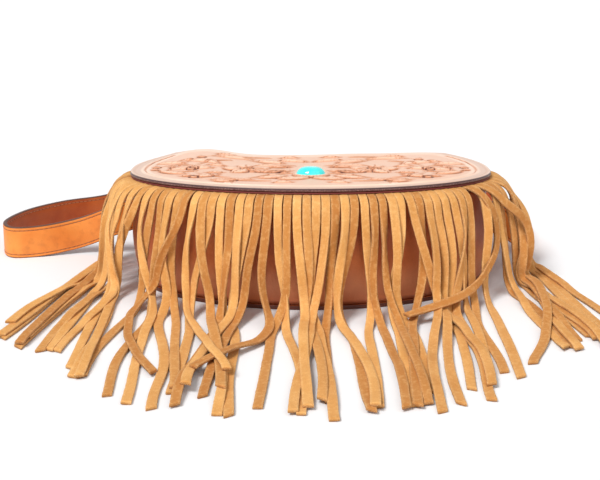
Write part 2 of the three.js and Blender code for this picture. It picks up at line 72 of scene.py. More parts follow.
# The fringe, in millimetres
STRAND_PITCH = 6.5
STRAND_WIDTH = 6.0
STRAND_LENGTH = 236
STRAND_LENGTH_SPREAD = 24
REACH_PAST_TIPS = 26
HEADER_INSET = 2
HEADER_WIDTH = 12
STRIP_COUNT = 9
ARCH_RADIUS = 8
EXTRA_ARCH_AT_TIPS = 6
FOOT_RADIUS = 27
TIGHTER_FOOT_AT_TIPS = 13
FALL_ANGLE = 80
FLARE_ANGLE = 13
FLARE_LENGTH = 46
TABLE_GAP = 0.5
STRAND_TUCK = 3
LONGEST_RUN = 275
TURN_LENGTH = 12
SIDE_SPREAD = 0.14
SPLAY_PER_EXCESS = 0.007
LEAST_FAN = 0.35
OUTWARD_SWAY = 14
CLUMP_WIDTH = 24
CLUMP_SWAY = 7
CLUMP_LEAN = 14
DRIFT_REACH = 22
SWAY_START = 14
MOST_SLANT = 20
CALM_ON_TABLE = 0.7
LAYER_GAP = 0.15
STRAND_BODY = 1.9
LAYOUT = 87

# Strands that lie on a way of their own: pairs of run and sideways distance
CHOSEN_SWAYS = {
    17: [(14, 0), (70, -19), (95, -33), (113, -38), (150, -35), (185, -22), (206, -4)],
    18: [(14, 0), (60, -3), (95, -1), (112, 9), (160, 22), (196, 38)],
    26: [(14, 0), (60, -4), (105, 4), (125, -2), (160, -24), (198, -46)],
    49: [(14, 8), (32, 18), (50, 16), (64, 2), (78, -14), (90, -30), (96, -50), (99, -72), (103, -92)],
    51: [(14, 6), (40, 30), (80, 42), (118, 46), (150, 40), (184, 22), (214, -4)],
}

# The stone and the strap, in millimetres
STONE_HALF_LENGTH = 11
STONE_HALF_WIDTH = 8.5
STONE_HEIGHT = 7.5
STONE_Y = -26
STONE_SEAT = 1.4
COLLAR = 3
STRAP_WIDTH = 25
STRAP_THICKNESS = 3.4
STRAP_ANCHOR = 36
STRAP_REST = STRAP_WIDTH / 2 + SEAT_GAP
SNAP_Y = -52

HEADER_LOW = HEADER_RISE
HEADER_HIGH = HEADER_LOW + HEADER
LINING_LOW = HEADER_HIGH + SEAT_GAP
LINING_HIGH = LINING_LOW + LINING
FLAP_LOW = LINING_HIGH + SEAT_GAP
FLAP_HIGH = FLAP_LOW + FLAP

SLOPE = math.atan((BODY_NEAR_HEIGHT - BODY_MOUTH_HEIGHT) / (FLAP_NEAR_DEPTH + MOUTH_Y))
FACE_MID = BODY_MOUTH_HEIGHT + (BODY_NEAR_HEIGHT - BODY_MOUTH_HEIGHT) * MOUTH_Y / (FLAP_NEAR_DEPTH + MOUTH_Y)


def face_height(y, rise):
    """How high the sloping face lies over the table at y, and a rise above the face."""
    return FACE_MID - y * math.tan(SLOPE) + rise / math.cos(SLOPE)


BEND_Y = MOUTH_Y + COVER_CLEARANCE - BEND_RADIUS
BEND_Z = face_height(BEND_Y + BEND_RADIUS * math.sin(SLOPE), FLAP_LOW) - BEND_RADIUS * math.cos(SLOPE)


def smooth(t):
    """An even step from 0 to 1 with soft ends."""
    t = np.clip(t, 0, 1)
    return t * t * (3 - 2 * t)


def linear(r, g, b):
    """A colour written as it looks, 0 to 255, turned into the linear values that shaders take."""
    return tuple(((c / 255 + 0.055) / 1.055) ** 2.4 if c > 10 else c / 3295 for c in (r, g, b)) + (1,)


# Materials


class Surface:
    """A material with one principled shader, and short calls for the nodes that feed it."""

    def __init__(self, name, roughness, **sockets):
        self.material = bpy.data.materials.new(name)
        self.material.use_nodes = True
        self.tree = self.material.node_tree
        self.shader = self.tree.nodes["Principled BSDF"]
        self.shader.inputs["Roughness"].default_value = roughness
        for socket, value in sockets.items():
            self.shader.inputs[socket.replace("_", " ")].default_value = value

    def node(self, kind, inputs=(), **settings):
        made = self.tree.nodes.new(kind)
        for key, value in settings.items():
            setattr(made, key, value)
        for key, value in dict(inputs).items():
            self.put(value, made.inputs[key])
        return made

    def put(self, value, socket):
        """Feeds a socket with another socket, a number, or a colour given as it looks."""
        if isinstance(value, bpy.types.NodeSocket):
            self.tree.links.new(value, socket)
        elif isinstance(value, tuple):
            socket.default_value = linear(*value)
        else:
            socket.default_value = value

    def place(self):
        return self.node("ShaderNodeTexCoord").outputs["Object"]

    def noise(self, scale, detail=3.0):
        inputs = {"Vector": self.place(), "Scale": scale, "Detail": detail, "Roughness": 0.55}
        return self.node("ShaderNodeTexNoise", inputs).outputs["Fac"]

    def cells(self, scale, feature="F1"):
        inputs = {"Vector": self.place(), "Scale": scale}
        return self.node("ShaderNodeTexVoronoi", inputs, feature=feature).outputs["Distance"]

    def value(self, attribute):
        return self.node("ShaderNodeAttribute", attribute_name=attribute).outputs["Fac"]

    def spread(self, value, low, high, to_low=0.0, to_high=1.0):
        inputs = {"Value": value, "From Min": low, "From Max": high, "To Min": to_low, "To Max": to_high}
        return self.node("ShaderNodeMapRange", inputs).outputs["Result"]

    def maths(self, operation, a, b=0.0):
        return self.node("ShaderNodeMath", {0: a, 1: b}, operation=operation).outputs[0]

    def mix(self, factor, a, b):
        made = self.node("ShaderNodeMix", data_type="RGBA")
        self.put(factor, made.inputs[0])
        self.put(a, made.inputs[6])
        self.put(b, made.inputs[7])
        return made.outputs[2]

    def bump(self, height, strength, distance, under=None):
        inputs = {"Height": height, "Strength": strength, "Distance": distance}
        if under is not None:
            inputs["Normal"] = under
        return self.node("ShaderNodeBump", inputs).outputs["Normal"]

    def finish(self, colour, normal=None, roughness=None):
        self.put(colour, self.shader.inputs["Base Color"])
        if normal is not None:
            self.put(normal, self.shader.inputs["Normal"])
        if roughness is not None:
            self.put(roughness, self.shader.inputs["Roughness"])
        return self.material


def suede_material():
    """Napped golden suede: each strand has its own tone, its cut edges are paler and fuzzy, and its flesh
    side, the underside, is darker with painted shade.
    """
    s = Surface("suede", 0.95, Sheen_Weight=0.15, Sheen_Roughness=0.5, Specular_IOR_Level=0.15)
    s.put((255, 226, 180), s.shader.inputs["Sheen Tint"])
    nap = s.noise(2200)
    mottle = s.noise(330)
    cloud = s.noise(42)
    lit = s.mix(s.spread(cloud, 0.3, 0.7), (230, 166, 92), (252, 192, 118))
    toned = s.mix(s.spread(s.value("tone"), -1, 1, 0.8, 0.0), lit, (184, 114, 54))
    speckled = s.mix(s.spread(nap, 0.38, 0.62, 0.32, 0.0), toned, (164, 98, 42))
    mottled = s.mix(s.spread(mottle, 0.5, 0.75, 0.0, 0.3), speckled, (255, 212, 144))
    # Painted shade: each strand's flesh side, its underside, is darkened to stand in for the shade under and
    # between the strands.
    back = s.mix(s.maths("MULTIPLY", s.value("flesh"), 0.8), mottled, (128, 72, 30))
    fuzz = s.maths("MULTIPLY", s.value("edge"), s.spread(nap, 0.46, 0.6, 0.0, 0.4))
    edged = s.mix(fuzz, back, (255, 222, 168))
    fine = s.bump(nap, 0.5, 0.0003)
    return s.finish(edged, s.bump(mottle, 0.3, 0.0006, fine))


def grain(s, scale, strength):
    """The pebbled skin of leather."""
    creased = s.bump(s.cells(scale), strength, 0.0004)
    return s.bump(s.noise(scale * 0.3, 4), strength * 0.8, 0.0006, creased)


def tooled_material():
    """Pale vegetable-tanned leather with painted shade where the carving is cut down, and a dark burnished
    rim.
    """
    s = Surface("tooled_leather", 0.5, Specular_IOR_Level=0.42, Coat_Weight=0.12, Coat_Roughness=0.35)
    cloud = s.noise(26, 4)
    blotch = s.noise(9)
    pale = s.mix(s.spread(cloud, 0.3, 0.7), (245, 205, 180), (253, 225, 204))
    warm = s.mix(s.spread(blotch, 0.45, 0.7, 0.0, 0.5), pale, (244, 188, 150))
    raised = s.mix(s.maths("MULTIPLY", s.value("raised"), 0.4), warm, (248, 196, 160))
    ground_depth = s.spread(cloud, 0.35, 0.65, 0.35, 0.75)
    ground = s.mix(s.maths("MULTIPLY", s.value("ground"), ground_depth), raised, (226, 164, 128))
    # Painted shade: soft brown shading round the carving and dark lines in its cuts stand in for the shade of
    # the relief.
    soft = s.mix(s.spread(s.value("recess"), 0.03, 0.42, 0.0, 0.95), ground, (210, 136, 94))
    cut = s.mix(s.spread(s.value("recess"), 0.42, 0.78), soft, (88, 42, 30))
    fuzzy = s.noise(1500)
    middle = s.mix(s.spread(fuzzy, 0.44, 0.7), (84, 50, 48), (160, 126, 118))
    lower = s.mix(s.spread(s.value("height"), 0.12, 0.3), (84, 30, 28), middle)
    rim = s.mix(s.spread(s.value("height"), 0.5, 0.68), lower, (58, 24, 26))
    handled = s.mix(s.maths("MULTIPLY", s.value("margin"), 0.85), cut, (220, 186, 166))
    face = s.mix(s.value("rim"), handled, rim)
    plain = s.mix(s.spread(cloud, 0.3, 0.7), (226, 170, 134), (238, 190, 158))
    colour = s.mix(s.value("cover"), face, plain)
    return s.finish(colour, grain(s, 1100, 0.18), s.spread(s.value("recess"), 0, 1, 0.46, 0.75))


def leather_material(name, dark, light, scale=900, strength=0.3, roughness=0.45, edge_colour=(46, 20, 18)):
    """Smooth dyed leather with grain, cloudy colour, darkened edges and, where a piece gives it, a painted
    highlight band.
    """
    s = Surface(name, roughness, Specular_IOR_Level=0.4, Coat_Weight=0.08, Coat_Roughness=0.3)
    cloud = s.noise(24, 4)
    mottle = s.noise(120, 4)
    base = s.mix(s.spread(cloud, 0.3, 0.7), dark, light)
    mottled = s.mix(s.spread(mottle, 0.4, 0.75, 0.0, 0.3), base, dark)
    # Painted highlight: a paler band, where a piece gives one, stands in for light falling on the leather.
    worn = s.mix(s.value("worn"), mottled, (232, 158, 112))
    colour = s.mix(s.value("edge"), worn, edge_colour)
    sheen = s.spread(mottle, 0.3, 0.7, roughness - 0.06, roughness + 0.1)
    return s.finish(colour, grain(s, scale, strength), sheen)


def strap_material():
    """Orange-brown strap leather, darker and redder on its flesh side with painted shade, with dark painted
    edges.
    """
    s = Surface("strap_leather", 0.5, Specular_IOR_Level=0.35, Coat_Weight=0.04, Coat_Roughness=0.3)
    cloud = s.noise(30)
    mottle = s.noise(150, 4)
    outer = s.mix(s.spread(cloud, 0.3, 0.7), (228, 126, 46), (248, 156, 72))
    # Painted shade: the inner, flesh side is darker and redder to stand in for the shade that falls on it.
    inner = s.mix(s.spread(cloud, 0.3, 0.7), (160, 66, 22), (196, 96, 38))
    base = s.mix(s.value("flesh"), outer, inner)
    spotted = s.mix(s.spread(mottle, 0.5, 0.75, 0.0, 0.35), base, (176, 88, 44))
    holed = s.mix(s.value("stitch_line"), spotted, (130, 62, 34))
    colour = s.mix(s.value("edge"), holed, (78, 40, 24))
    return s.finish(colour, grain(s, 850, 0.22))


def stone_material():
    """Polished turquoise with faint paler clouds and thin veins."""
    s = Surface("turquoise", 0.12, Specular_IOR_Level=0.6, Coat_Weight=0.6, Coat_Roughness=0.04)
    cloud = s.noise(160, 4)
    vein = s.cells(240, feature="DISTANCE_TO_EDGE")
    base = s.mix(s.spread(cloud, 0.3, 0.7), (6, 226, 228), (64, 250, 240))
    colour = s.mix(s.spread(vein, 0.0, 0.035, 0.3, 0.0), base, (8, 160, 168))
    return s.finish(colour)


def thread_material(name, rgb):
    """Twisted thread, darker in its turns."""
    s = Surface(name, 0.7, Sheen_Weight=0.2)
    twist = s.noise(1500, 2)
    shaded = tuple(c * 0.6 for c in rgb)
    return s.finish(s.mix(s.spread(twist, 0.3, 0.7, 0.0, 0.5), rgb, shaded))


def brass_material():
    """Satin brass with a little wear."""
    s = Surface("snap_metal", 0.3, Metallic=1.0)
    wear = s.noise(600)
    colour = s.mix(s.spread(wear, 0.4, 0.7), (196, 168, 112), (158, 132, 86))
    return s.finish(colour, s.bump(wear, 0.1, 0.0003), s.spread(wear, 0.3, 0.7, 0.25, 0.42))


# Meshes


def soften(mesh):
    """Smooth shading for the skin, flat shading for the many-sided end faces."""
    mesh.polygons.foreach_set("use_smooth", [len(face.vertices) <= 4 for face in mesh.polygons])


def piece(name, points, faces, material, body, replaces=(), slot=None, **attributes):
    """A smooth mesh object from points in millimetres, riding on a body of the frame."""
    mesh = bpy.data.meshes.new(name)
    mesh.from_pydata((np.asarray(points, float) * MM).tolist(), [], faces)
    for key, values in attributes.items():
        layer = mesh.attributes.new(key, "FLOAT", "POINT")
        layer.data.foreach_set("value", np.asarray(values, np.float32).ravel())
    soften(mesh)
    mesh.materials.append(material)
    made = bpy.data.objects.new(name, mesh)
    bpy.context.scene.collection.objects.link(made)
    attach(made, body)
    if replaces:
        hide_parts(*replaces)
    return made


def grid_faces(rows, columns, closed=False):
    """Quads over a grid of points stored row by row. A closed grid joins its last column to its first."""
    across = columns if closed else columns - 1
    i, j = np.meshgrid(np.arange(rows - 1), np.arange(across), indexing="ij")
    after = (j + 1) % columns
    this_row, next_row = i * columns, (i + 1) * columns
    quads = np.stack([this_row + j, this_row + after, next_row + after, next_row + j], -1)
    return quads.reshape(-1, 4).tolist()


def loft(sections):
    """A closed skin over a list of rings, with flat ends: points and faces."""
    rows, columns = sections.shape[:2]
    faces = grid_faces(rows, columns, closed=True)
    faces.append(list(range(columns))[::-1])
    faces.append([(rows - 1) * columns + k for k in range(columns)])
    return sections.reshape(-1, 3), faces


def join(parts):
    """Joins (points, faces) pairs into one."""
    points, faces, start = [], [], 0
    for some_points, some_faces in parts:
        points.append(some_points)
        faces.extend([[k + start for k in face] for face in some_faces])
        start += len(some_points)
    return np.concatenate(points), faces


def on_face(x, y, rise):
    """Points given along the sloping face and above it, in the bag's frame."""
    x, y, rise = np.broadcast_arrays(x, y, rise)
    return np.stack([
        x,
        y * math.cos(SLOPE) + rise * math.sin(SLOPE),
        FACE_MID - y * math.sin(SLOPE) + rise * math.cos(SLOPE),
    ], -1)


def plan_point(place, inset):
    """The flap's outline, from -1 at the mouth's left end to 1 at its right, drawn in by an inset."""
    place = np.asarray(place, float)
    width = FLAP_HALF_WIDTH - inset
    depth = FLAP_NEAR_DEPTH - inset
    along = np.abs(place)
    share = 1 - SIDE_SHARE
    angle = np.clip(along / share, 0, 1) * math.pi / 2
    up = np.clip((along - share) / SIDE_SHARE, 0, 1)
    narrowing = (FLAP_HALF_WIDTH - MOUTH_HALF_WIDTH) * up**SIDE_NARROWING
    x = np.where(up > 0, width - narrowing, width * np.sin(angle))
    y = np.where(up > 0, up * MOUTH_Y, -depth * np.cos(angle))
    return np.where(place < 0, -x, x), y


def plate(inset, low, high, rounding, tilted, end_y=None):
    """A flat leather piece with rounded edges. Returns points, faces and how far each point is an edge."""
    steps = 220
    places = np.linspace(-1, 1, steps)
    profile = [(0.9, low), (0.0, low), (0.0, low + 0.3), (0.0, high - 0.3), (0.25, high - 0.05), (1.2, high)]
    rings = []
    for share, height in profile:
        x, y = plan_point(places, inset + rounding * share)
        if end_y is not None:
            y = np.minimum(y, end_y)
        ring = on_face(x, y, height) if tilted else np.stack([x, y, np.full_like(x, height)], -1)
        rings.append(ring)
    points, faces = loft(np.stack(rings))
    edge = np.repeat([0.3, 1, 1, 1, 1, 0], steps)
    return points, faces, edge


# The carved flap

LEAVES = [
    (16, -4, -35, 30, 11, 60), (17, 12, 50, 28, 10, -70), (70, -22, -60, 24, 9, 80),
    (76, 6, 10, 34, 11, -55), (72, 24, 60, 26, 10, -90), (20, -28, -60, 24, 9, 70),
    (22, 32, 55, 24, 9, -60), (94, -18, 5, 24, 8, 60), (98, 24, 40, 22, 8, -80),
    (44, -44, -20, 30, 8, 40), (46, 50, 20, 30, 8, -40), (2, -36, -50, 26, 9, 80),
    (4, 40, 50, 24, 9, -70),
    (30, -14, 150, 14, 5, 60), (30, 14, -150, 14, 5, -60), (34, -26, 200, 13, 5, -70),
    (66, -12, -30, 13, 5, 60), (66, 14, 40, 13, 5, -60), (84, -30, -20, 13, 5, 50),
    (88, 34, 30, 13, 5, -50), (58, -54, -10, 14, 5, 50), (14, -58, 10, 14, 5, -50),
    (104, 4, 80, 12, 5, 60), (60, 62, 10, 14, 5, -50), (10, 62, 20, 14, 5, -60),
]
FLOWERS = [(48, 2, 19)]
PETALS = 5
PETAL_START = 4
PETAL_CURL = 36
PETAL_WIDTH_SHARE = 0.72
RELIEF = 1.3
GROOVE = 0.9
RIB_PITCH = 3.4
FAINT_OUTLINE = 0.45
SCROLL_RADIUS = 3.2
BORDER_INSET = 9
BORDER_WIDTH = 1.8
BORDER_HEIGHT = 0.7

# Stems: start x and y, heading, length and curl, with a scroll at the end
STEMS = [
    (12, -16, -20, 70, -50), (12, 20, 22, 74, 50), (60, -36, 20, 52, 70), (62, 40, -20, 52, -70),
    (86, -4, -50, 46, 150), (88, 12, 50, 44, -150), (30, -52, -5, 60, 45), (32, 60, 4, 56, -40),
]


def spine(x, y, angle, length, curl, steps=24):
    """Points along a curve that turns evenly, with the heading at each."""
    t = np.linspace(0, 1, steps)
    heading = np.radians(angle + curl * t)
    step = length / (steps - 1)
    px = x + np.concatenate([[0], np.cumsum(np.cos(heading[:-1]))]) * step
    py = y + np.concatenate([[0], np.cumsum(np.sin(heading[:-1]))]) * step
    return t, px, py, heading


def nearest(px, py, heading, x, y):
    """For each point, the nearest spot of a curve, the distance to it and its side."""
    distance = np.hypot(x[:, None] - px, y[:, None] - py)
    spot = distance.argmin(1)
    dx, dy = x - px[spot], y - py[spot]
    side = -np.sin(heading[spot]) * dx + np.cos(heading[spot]) * dy
    return spot, distance.min(1), side


def add_to(field, box, **values):
    """Each layer of the carving keeps the greater of what it has and what is given."""
    for key, value in values.items():
        field[key][box] = np.maximum(field[key][box], value)


def carve_leaf(field, x, y, leaf):
    """Raises a leaf, cuts its outline and its veins, and darkens the ground beside it with painted shade
    where a bevel would be.
    """
    start_x, start_y, angle, length, width, curl = leaf
    t, px, py, heading = spine(start_x, start_y, angle, length, curl)
    box = (np.abs(x - start_x) < length + width) & (np.abs(y - start_y) < length + width)
    if not box.any():
        return
    spot, distance, side = nearest(px, py, heading, x[box], y[box])
    along = t[spot]
    half = width / 2 * np.sin(np.pi * np.minimum(1, 0.08 + 0.92 * along)) ** 0.8
    out = distance - half
    inside = smooth(-out / 1.1)
    crown = inside * (0.65 + 0.35 * smooth(-out / (width / 2)))
    outline = np.exp(-(((out - 0.25) / 0.8) ** 2))
    turned = side * curl > 0
    # Painted shade: the ground beside the leaf darkens as a bevel would look, and dark crescents along the
    # outline and the veins stand in for shade in the cuts.
    painted_bevel_shade = smooth(1 - out / 4.5) * (out > 0) * np.where(turned, 0.5, 1)
    ribs = np.abs(np.sin(np.pi * (along * length - np.abs(side) * 1.1) / RIB_PITCH))
    vein = inside * (np.exp(-(side / 0.6) ** 2) + 0.55 * (ribs < 0.3) * (out < -1.0))
    crescent = np.where(turned, FAINT_OUTLINE, 0.55 + 0.45 * np.sin(np.pi * along))
    shade = np.maximum(np.maximum(outline * crescent, 0.5 * vein), 0.5 * painted_bevel_shade)
    groove = GROOVE * np.maximum(outline, 0.5 * vein)
    add_to(field, box, height=RELIEF * crown, cut=groove, recess=shade, raised=inside)


def carve_stem(field, x, y, stem):
    """A double-lined stem that ends in a small round scroll."""
    start_x, start_y, angle, length, curl = stem
    t, px, py, heading = spine(start_x, start_y, angle, length, curl, 60)
    box = (np.abs(x - start_x) < length + 6) & (np.abs(y - start_y) < length + 6)
    if not box.any():
        return
    spot, distance, _ = nearest(px, py, heading, x[box], y[box])
    half = 1.3 - 0.5 * t[spot]
    out = distance - half
    line = np.exp(-((out / 0.75) ** 2))
    shade = (0.4 + 0.3 * np.sin(6 * t[spot])) * line
    add_to(field, box, height=0.6 * RELIEF * smooth(-out / 0.8), cut=GROOVE * 0.7 * line, recess=shade)
    end = np.hypot(x - px[-1], y - py[-1])
    boss = smooth((SCROLL_RADIUS - end) / 1.0)
    ring = np.exp(-((end - SCROLL_RADIUS - 0.2) / 0.7) ** 2)
    add_to(field, slice(None), height=RELIEF * boss, cut=GROOVE * ring, recess=ring)


def carve_flower(field, x, y, flower):
    """Petals round a domed middle with seeds."""
    centre_x, centre_y, radius = flower
    for k in range(PETALS):
        angle = 90 + 360 * k / PETALS
        turn = math.radians(angle)
        start = (centre_x + PETAL_START * math.cos(turn), centre_y + PETAL_START * math.sin(turn))
        leaf = (*start, angle - PETAL_CURL / 2, radius - PETAL_START, radius * PETAL_WIDTH_SHARE, PETAL_CURL)
        carve_leaf(field, x, y, leaf)
    distance = np.hypot(x - centre_x, y - centre_y)
    seeds = 0.25 * (np.sin(2.6 * x) * np.sin(2.6 * y) > 0.2)
    dome = smooth((5 - distance) / 1.6) * (1 - seeds)
    ring = np.exp(-((distance - 5.2) / 0.7) ** 2)
    shade = np.maximum(ring, 1.6 * seeds * (distance < 4.5))
    add_to(field, slice(None), height=(RELIEF + 0.5) * dome, cut=GROOVE * ring, recess=shade)


def carved_height(x, y, inset):
    """The height of the tooled surface over the flat leather, and what its colour needs."""
    field = {key: np.zeros_like(x) for key in ("height", "cut", "recess", "raised")}
    across = np.abs(x)
    for leaf in LEAVES:
        carve_leaf(field, across, y, leaf)
    for flower in FLOWERS:
        carve_flower(field, across, y, flower)
    for stem in STEMS:
        carve_stem(field, across, y, stem)
    reach = np.hypot(x / (STONE_HALF_LENGTH + COLLAR), (y - STONE_Y) / (STONE_HALF_WIDTH + COLLAR))
    ring_out = (reach - 1) * (STONE_HALF_LENGTH + COLLAR)
    collar = smooth(-ring_out / 1.2)
    field["cut"][reach < 1] = 0
    field["recess"][reach < 1] = 0
    field["height"] = np.where(reach < 1, RELIEF * collar, field["height"])
    beads = 0.5 + 0.5 * np.sin(np.arctan2(y - STONE_Y, x) * 26)
    ring = np.exp(-((ring_out + 1.7) / 0.6) ** 2) * beads
    field["cut"] += GROOVE * 0.6 * ring
    # Painted shade at the edge of the stone's collar and in its beaded ring.
    field["recess"] = np.maximum(field["recess"], 0.6 * ring + 0.7 * np.exp(-(ring_out / 0.7) ** 2))
    carved = smooth((inset - BORDER_INSET - BORDER_WIDTH - 3) / 3) * smooth((70 - y) / 6)
    stipple = 0.5 + 0.5 * np.sin(2.1 * x + 0.7 * np.sin(1.3 * y)) * np.sin(2.3 * y)
    ground = carved * (1 - np.maximum(field["raised"], collar)) * (0.55 + 0.45 * stipple)
    bead = smooth(1 - np.abs(inset - BORDER_INSET - BORDER_WIDTH / 2) / (BORDER_WIDTH / 2 + 0.5))
    bead *= smooth((MOUTH_Y - 20 - y) / 3)
    bead_line = np.exp(-((inset - BORDER_INSET - BORDER_WIDTH - 0.4) / 0.5) ** 2)
    bead_line *= smooth((MOUTH_Y - 20 - y) / 3)
    rim_line = np.exp(-((inset - 3.2) / 0.5) ** 2)
    height = field["height"] * carved + BORDER_HEIGHT * bead - 0.25 * ground
    height = height - field["cut"] * carved - 0.4 * bead_line - 0.25 * rim_line
    # Painted shade in the border's cut line and along the rim line, added to the carving's own.
    recess = np.maximum(field["recess"] * carved, 0.7 * bead_line)
    recess = np.maximum(recess, 0.55 * rim_line)
    return height, recess, field["raised"] * carved, ground


# The humps of the flap's far edge: height, middle and half width
HUMPS = [(5.0, -84, 26), (1.0, 34, 26), (2.2, 90, 36)]


def warp(x, y):
    """How far the flap's far edge rises softly over the body."""
    rise = sum(height * np.exp(-(((x - middle) / half) ** 2)) for height, middle, half in HUMPS)
    return rise * smooth((y + 20) / 100)


def flap():
    """The face, the bend and the cover as one sheet, carved on the face."""
    edge_inset = 0.9
    columns = 301
    outline_steps = 400
    arc_places = np.linspace(0, 1 - SIDE_SHARE, 160)
    outer_radius = BEND_RADIUS + FLAP
    start_y = BEND_Y + outer_radius * math.sin(SLOPE)
    local_end = (start_y - FLAP_HIGH * math.sin(SLOPE)) / math.cos(SLOPE)
    last_place = 1 - SIDE_SHARE + SIDE_SHARE * local_end / MOUTH_Y
    side_places = np.linspace(1 - SIDE_SHARE, last_place, 80)[1:]
    places = np.concatenate([arc_places, side_places])
    angles = np.linspace(SLOPE, math.pi / 2, 12)[1:]
    drops = np.linspace(BEND_Z, COVER_END, 14)[1:]

    def boundary(inset):
        """Half the outline at an inset: x, y and z on the sheet's outer side, and its normal."""
        x, y = plan_point(places, inset)
        face = on_face(x, y, FLAP_HIGH)
        face_normal = np.tile([0, math.sin(SLOPE), math.cos(SLOPE)], (len(places), 1))
        end_x = x[-1]
        blend = smooth((angles - SLOPE) / (math.pi / 2 - SLOPE))
        arc_x = end_x + (MOUTH_HALF_WIDTH - inset - end_x) * blend
        arc_y = BEND_Y + outer_radius * np.sin(angles)
        arc = np.stack([arc_x, arc_y, BEND_Z + outer_radius * np.cos(angles)], -1)
        arc_normal = np.stack([0 * angles, np.sin(angles), np.cos(angles)], -1)
        down_x = np.full(len(drops), MOUTH_HALF_WIDTH - inset)
        down = np.stack([down_x, np.full(len(drops), BEND_Y + outer_radius), drops], -1)
        down_normal = np.tile([0, 1, 0], (len(drops), 1))
        local = np.concatenate([y, np.full(len(angles) + len(drops), MOUTH_Y)])
        normals = np.concatenate([face_normal, arc_normal, down_normal])
        return np.concatenate([face, arc, down]), normals, local

    line, normal, local_y = boundary(edge_inset)
    rows = len(line)
    share = np.linspace(-1, 1, columns)
    x = line[:, :1] * share
    y = np.repeat(local_y[:, None], columns, 1)
    outline = np.stack(plan_point(np.linspace(-1, 1, outline_steps), 0), -1)
    flat_x, flat_y = x.ravel(), y.ravel()
    inset = np.full(len(flat_x), 1e9)
    for rim_x_here, rim_y_here in outline:
        inset = np.minimum(inset, np.hypot(flat_x - rim_x_here, flat_y - rim_y_here))
    height, recess, raised, ground = carved_height(flat_x, flat_y, inset)
    on_the_face = (np.arange(rows) < len(places))[:, None] * np.ones((1, columns))
    fade = on_the_face.ravel() * smooth(inset / 1.5)
    margin = smooth((BORDER_INSET - inset) / 2)
    height, recess, raised, ground, margin = [v * fade for v in (height, recess, raised, ground, margin)]
    top = np.stack([x, np.repeat(line[:, 1:2], columns, 1), np.repeat(line[:, 2:], columns, 1)], -1)
    top = top + normal[:, None, :] * height.reshape(rows, columns, 1)
    parts = [(top.reshape(-1, 3), grid_faces(rows, columns))]
    profile = [(0.9, 0.0), (0.4, 0.12), (0.08, 0.5), (0.0, 1.0)]
    profile += [(0.0, FLAP - 0.7), (0.2, FLAP - 0.15), (0.9, FLAP)]
    underside_share = 0.3
    rim_share = [0, 0.55, 1, 1, 1, 1, underside_share]
    rims, rim_values, rim_heights = [], [], []
    for (ring_inset, depth), value in zip(profile, rim_share):
        ring, ring_normal, _ = boundary(ring_inset)
        ring = ring - ring_normal * depth
        left = ring[::-1] * [-1, 1, 1]
        rims.append(np.concatenate([left, ring[1:]]))
        rim_values.append(value)
        rim_heights.append(1 - depth / FLAP)
    band = np.stack(rims)
    count = band.shape[1]
    parts.append((band.reshape(-1, 3), grid_faces(len(profile), count)))
    bottom = band[-1]
    middle = count // 2
    under = [[middle + i, middle + i + 1, middle - i - 1, middle - i] for i in range(1, rows - 1)]
    under.append([middle, middle + 1, middle - 1])
    parts.append((bottom, under))
    end_cap = np.concatenate([band[:, 0], band[::-1, -1]])
    parts.append((end_cap, [list(range(len(end_cap)))]))
    points, faces = join(parts)
    x_all, y_all = points[:, 0], points[:, 1]
    points[:, 2] += warp(x_all, y_all) * smooth((points[:, 2] - 30) / 30)
    size = [len(part[0]) for part in parts]

    def spread_over(values, rim, rest=0.0):
        return np.concatenate([values, np.repeat(rim, count), np.full(size[2] + size[3], rest)])

    zeros = np.zeros(len(profile))
    on_cover = np.concatenate([1 - on_the_face.ravel(), np.zeros(len(points) - rows * columns)])
    made = piece(
        "carved_flap", points, faces, tooled_material(), "flap", ["flap"], "tooled_leather",
        recess=spread_over(recess, zeros),
        raised=spread_over(raised, zeros),
        ground=spread_over(ground, zeros),
        margin=spread_over(margin, zeros),
        rim=spread_over(np.zeros(rows * columns), rim_values, underside_share),
        height=spread_over(np.ones(rows * columns), rim_heights),
        cover=on_cover,
    )
    merge_seams(made)


def merge_seams(made, distance=0.00002):
    """Joins points that lie on each other, and turns all faces outward."""
    work = bmesh.new()
    work.from_mesh(made.data)
    bmesh.ops.remove_doubles(work, verts=work.verts, dist=distance)
    bmesh.ops.recalc_face_normals(work, faces=work.faces)
    work.to_mesh(made.data)
    work.free()
    soften(made.data)


def body():
    """The lining, the two panels and the gusset."""
    brown = leather_material("smooth_leather", (172, 76, 34), (218, 120, 62), 700, 0.35, 0.42, (92, 44, 30))
    maroon = leather_material("lining_leather", (96, 40, 34), (124, 60, 48), 800, 0.3, 0.6, (112, 42, 34))
    lining = plate(LINING_INSET, LINING_LOW, LINING_HIGH, 0.35, True, BEND_Y - LINING_SHORT_OF_BEND)
    front = plate(FLAP_OVERHANG, -FRONT_PANEL, 0, 0.6, True)
    back = plate(FLAP_OVERHANG, 0, BACK_PANEL, 0.6, False)
    for name, shape, material, body_name, node, slot in [
        ("lining", lining, maroon, "flap", "flap_lining", "lining_leather"),
        ("front_panel_leather", front, brown, "root", "front_panel", "smooth_leather"),
        ("back_panel_leather", back, brown, "root", "back_panel", "smooth_leather"),
    ]:
        points, faces, edge = shape
        merge_seams(piece(name, points, faces, material, body_name, [node], slot, edge=edge))
    gusset(brown)


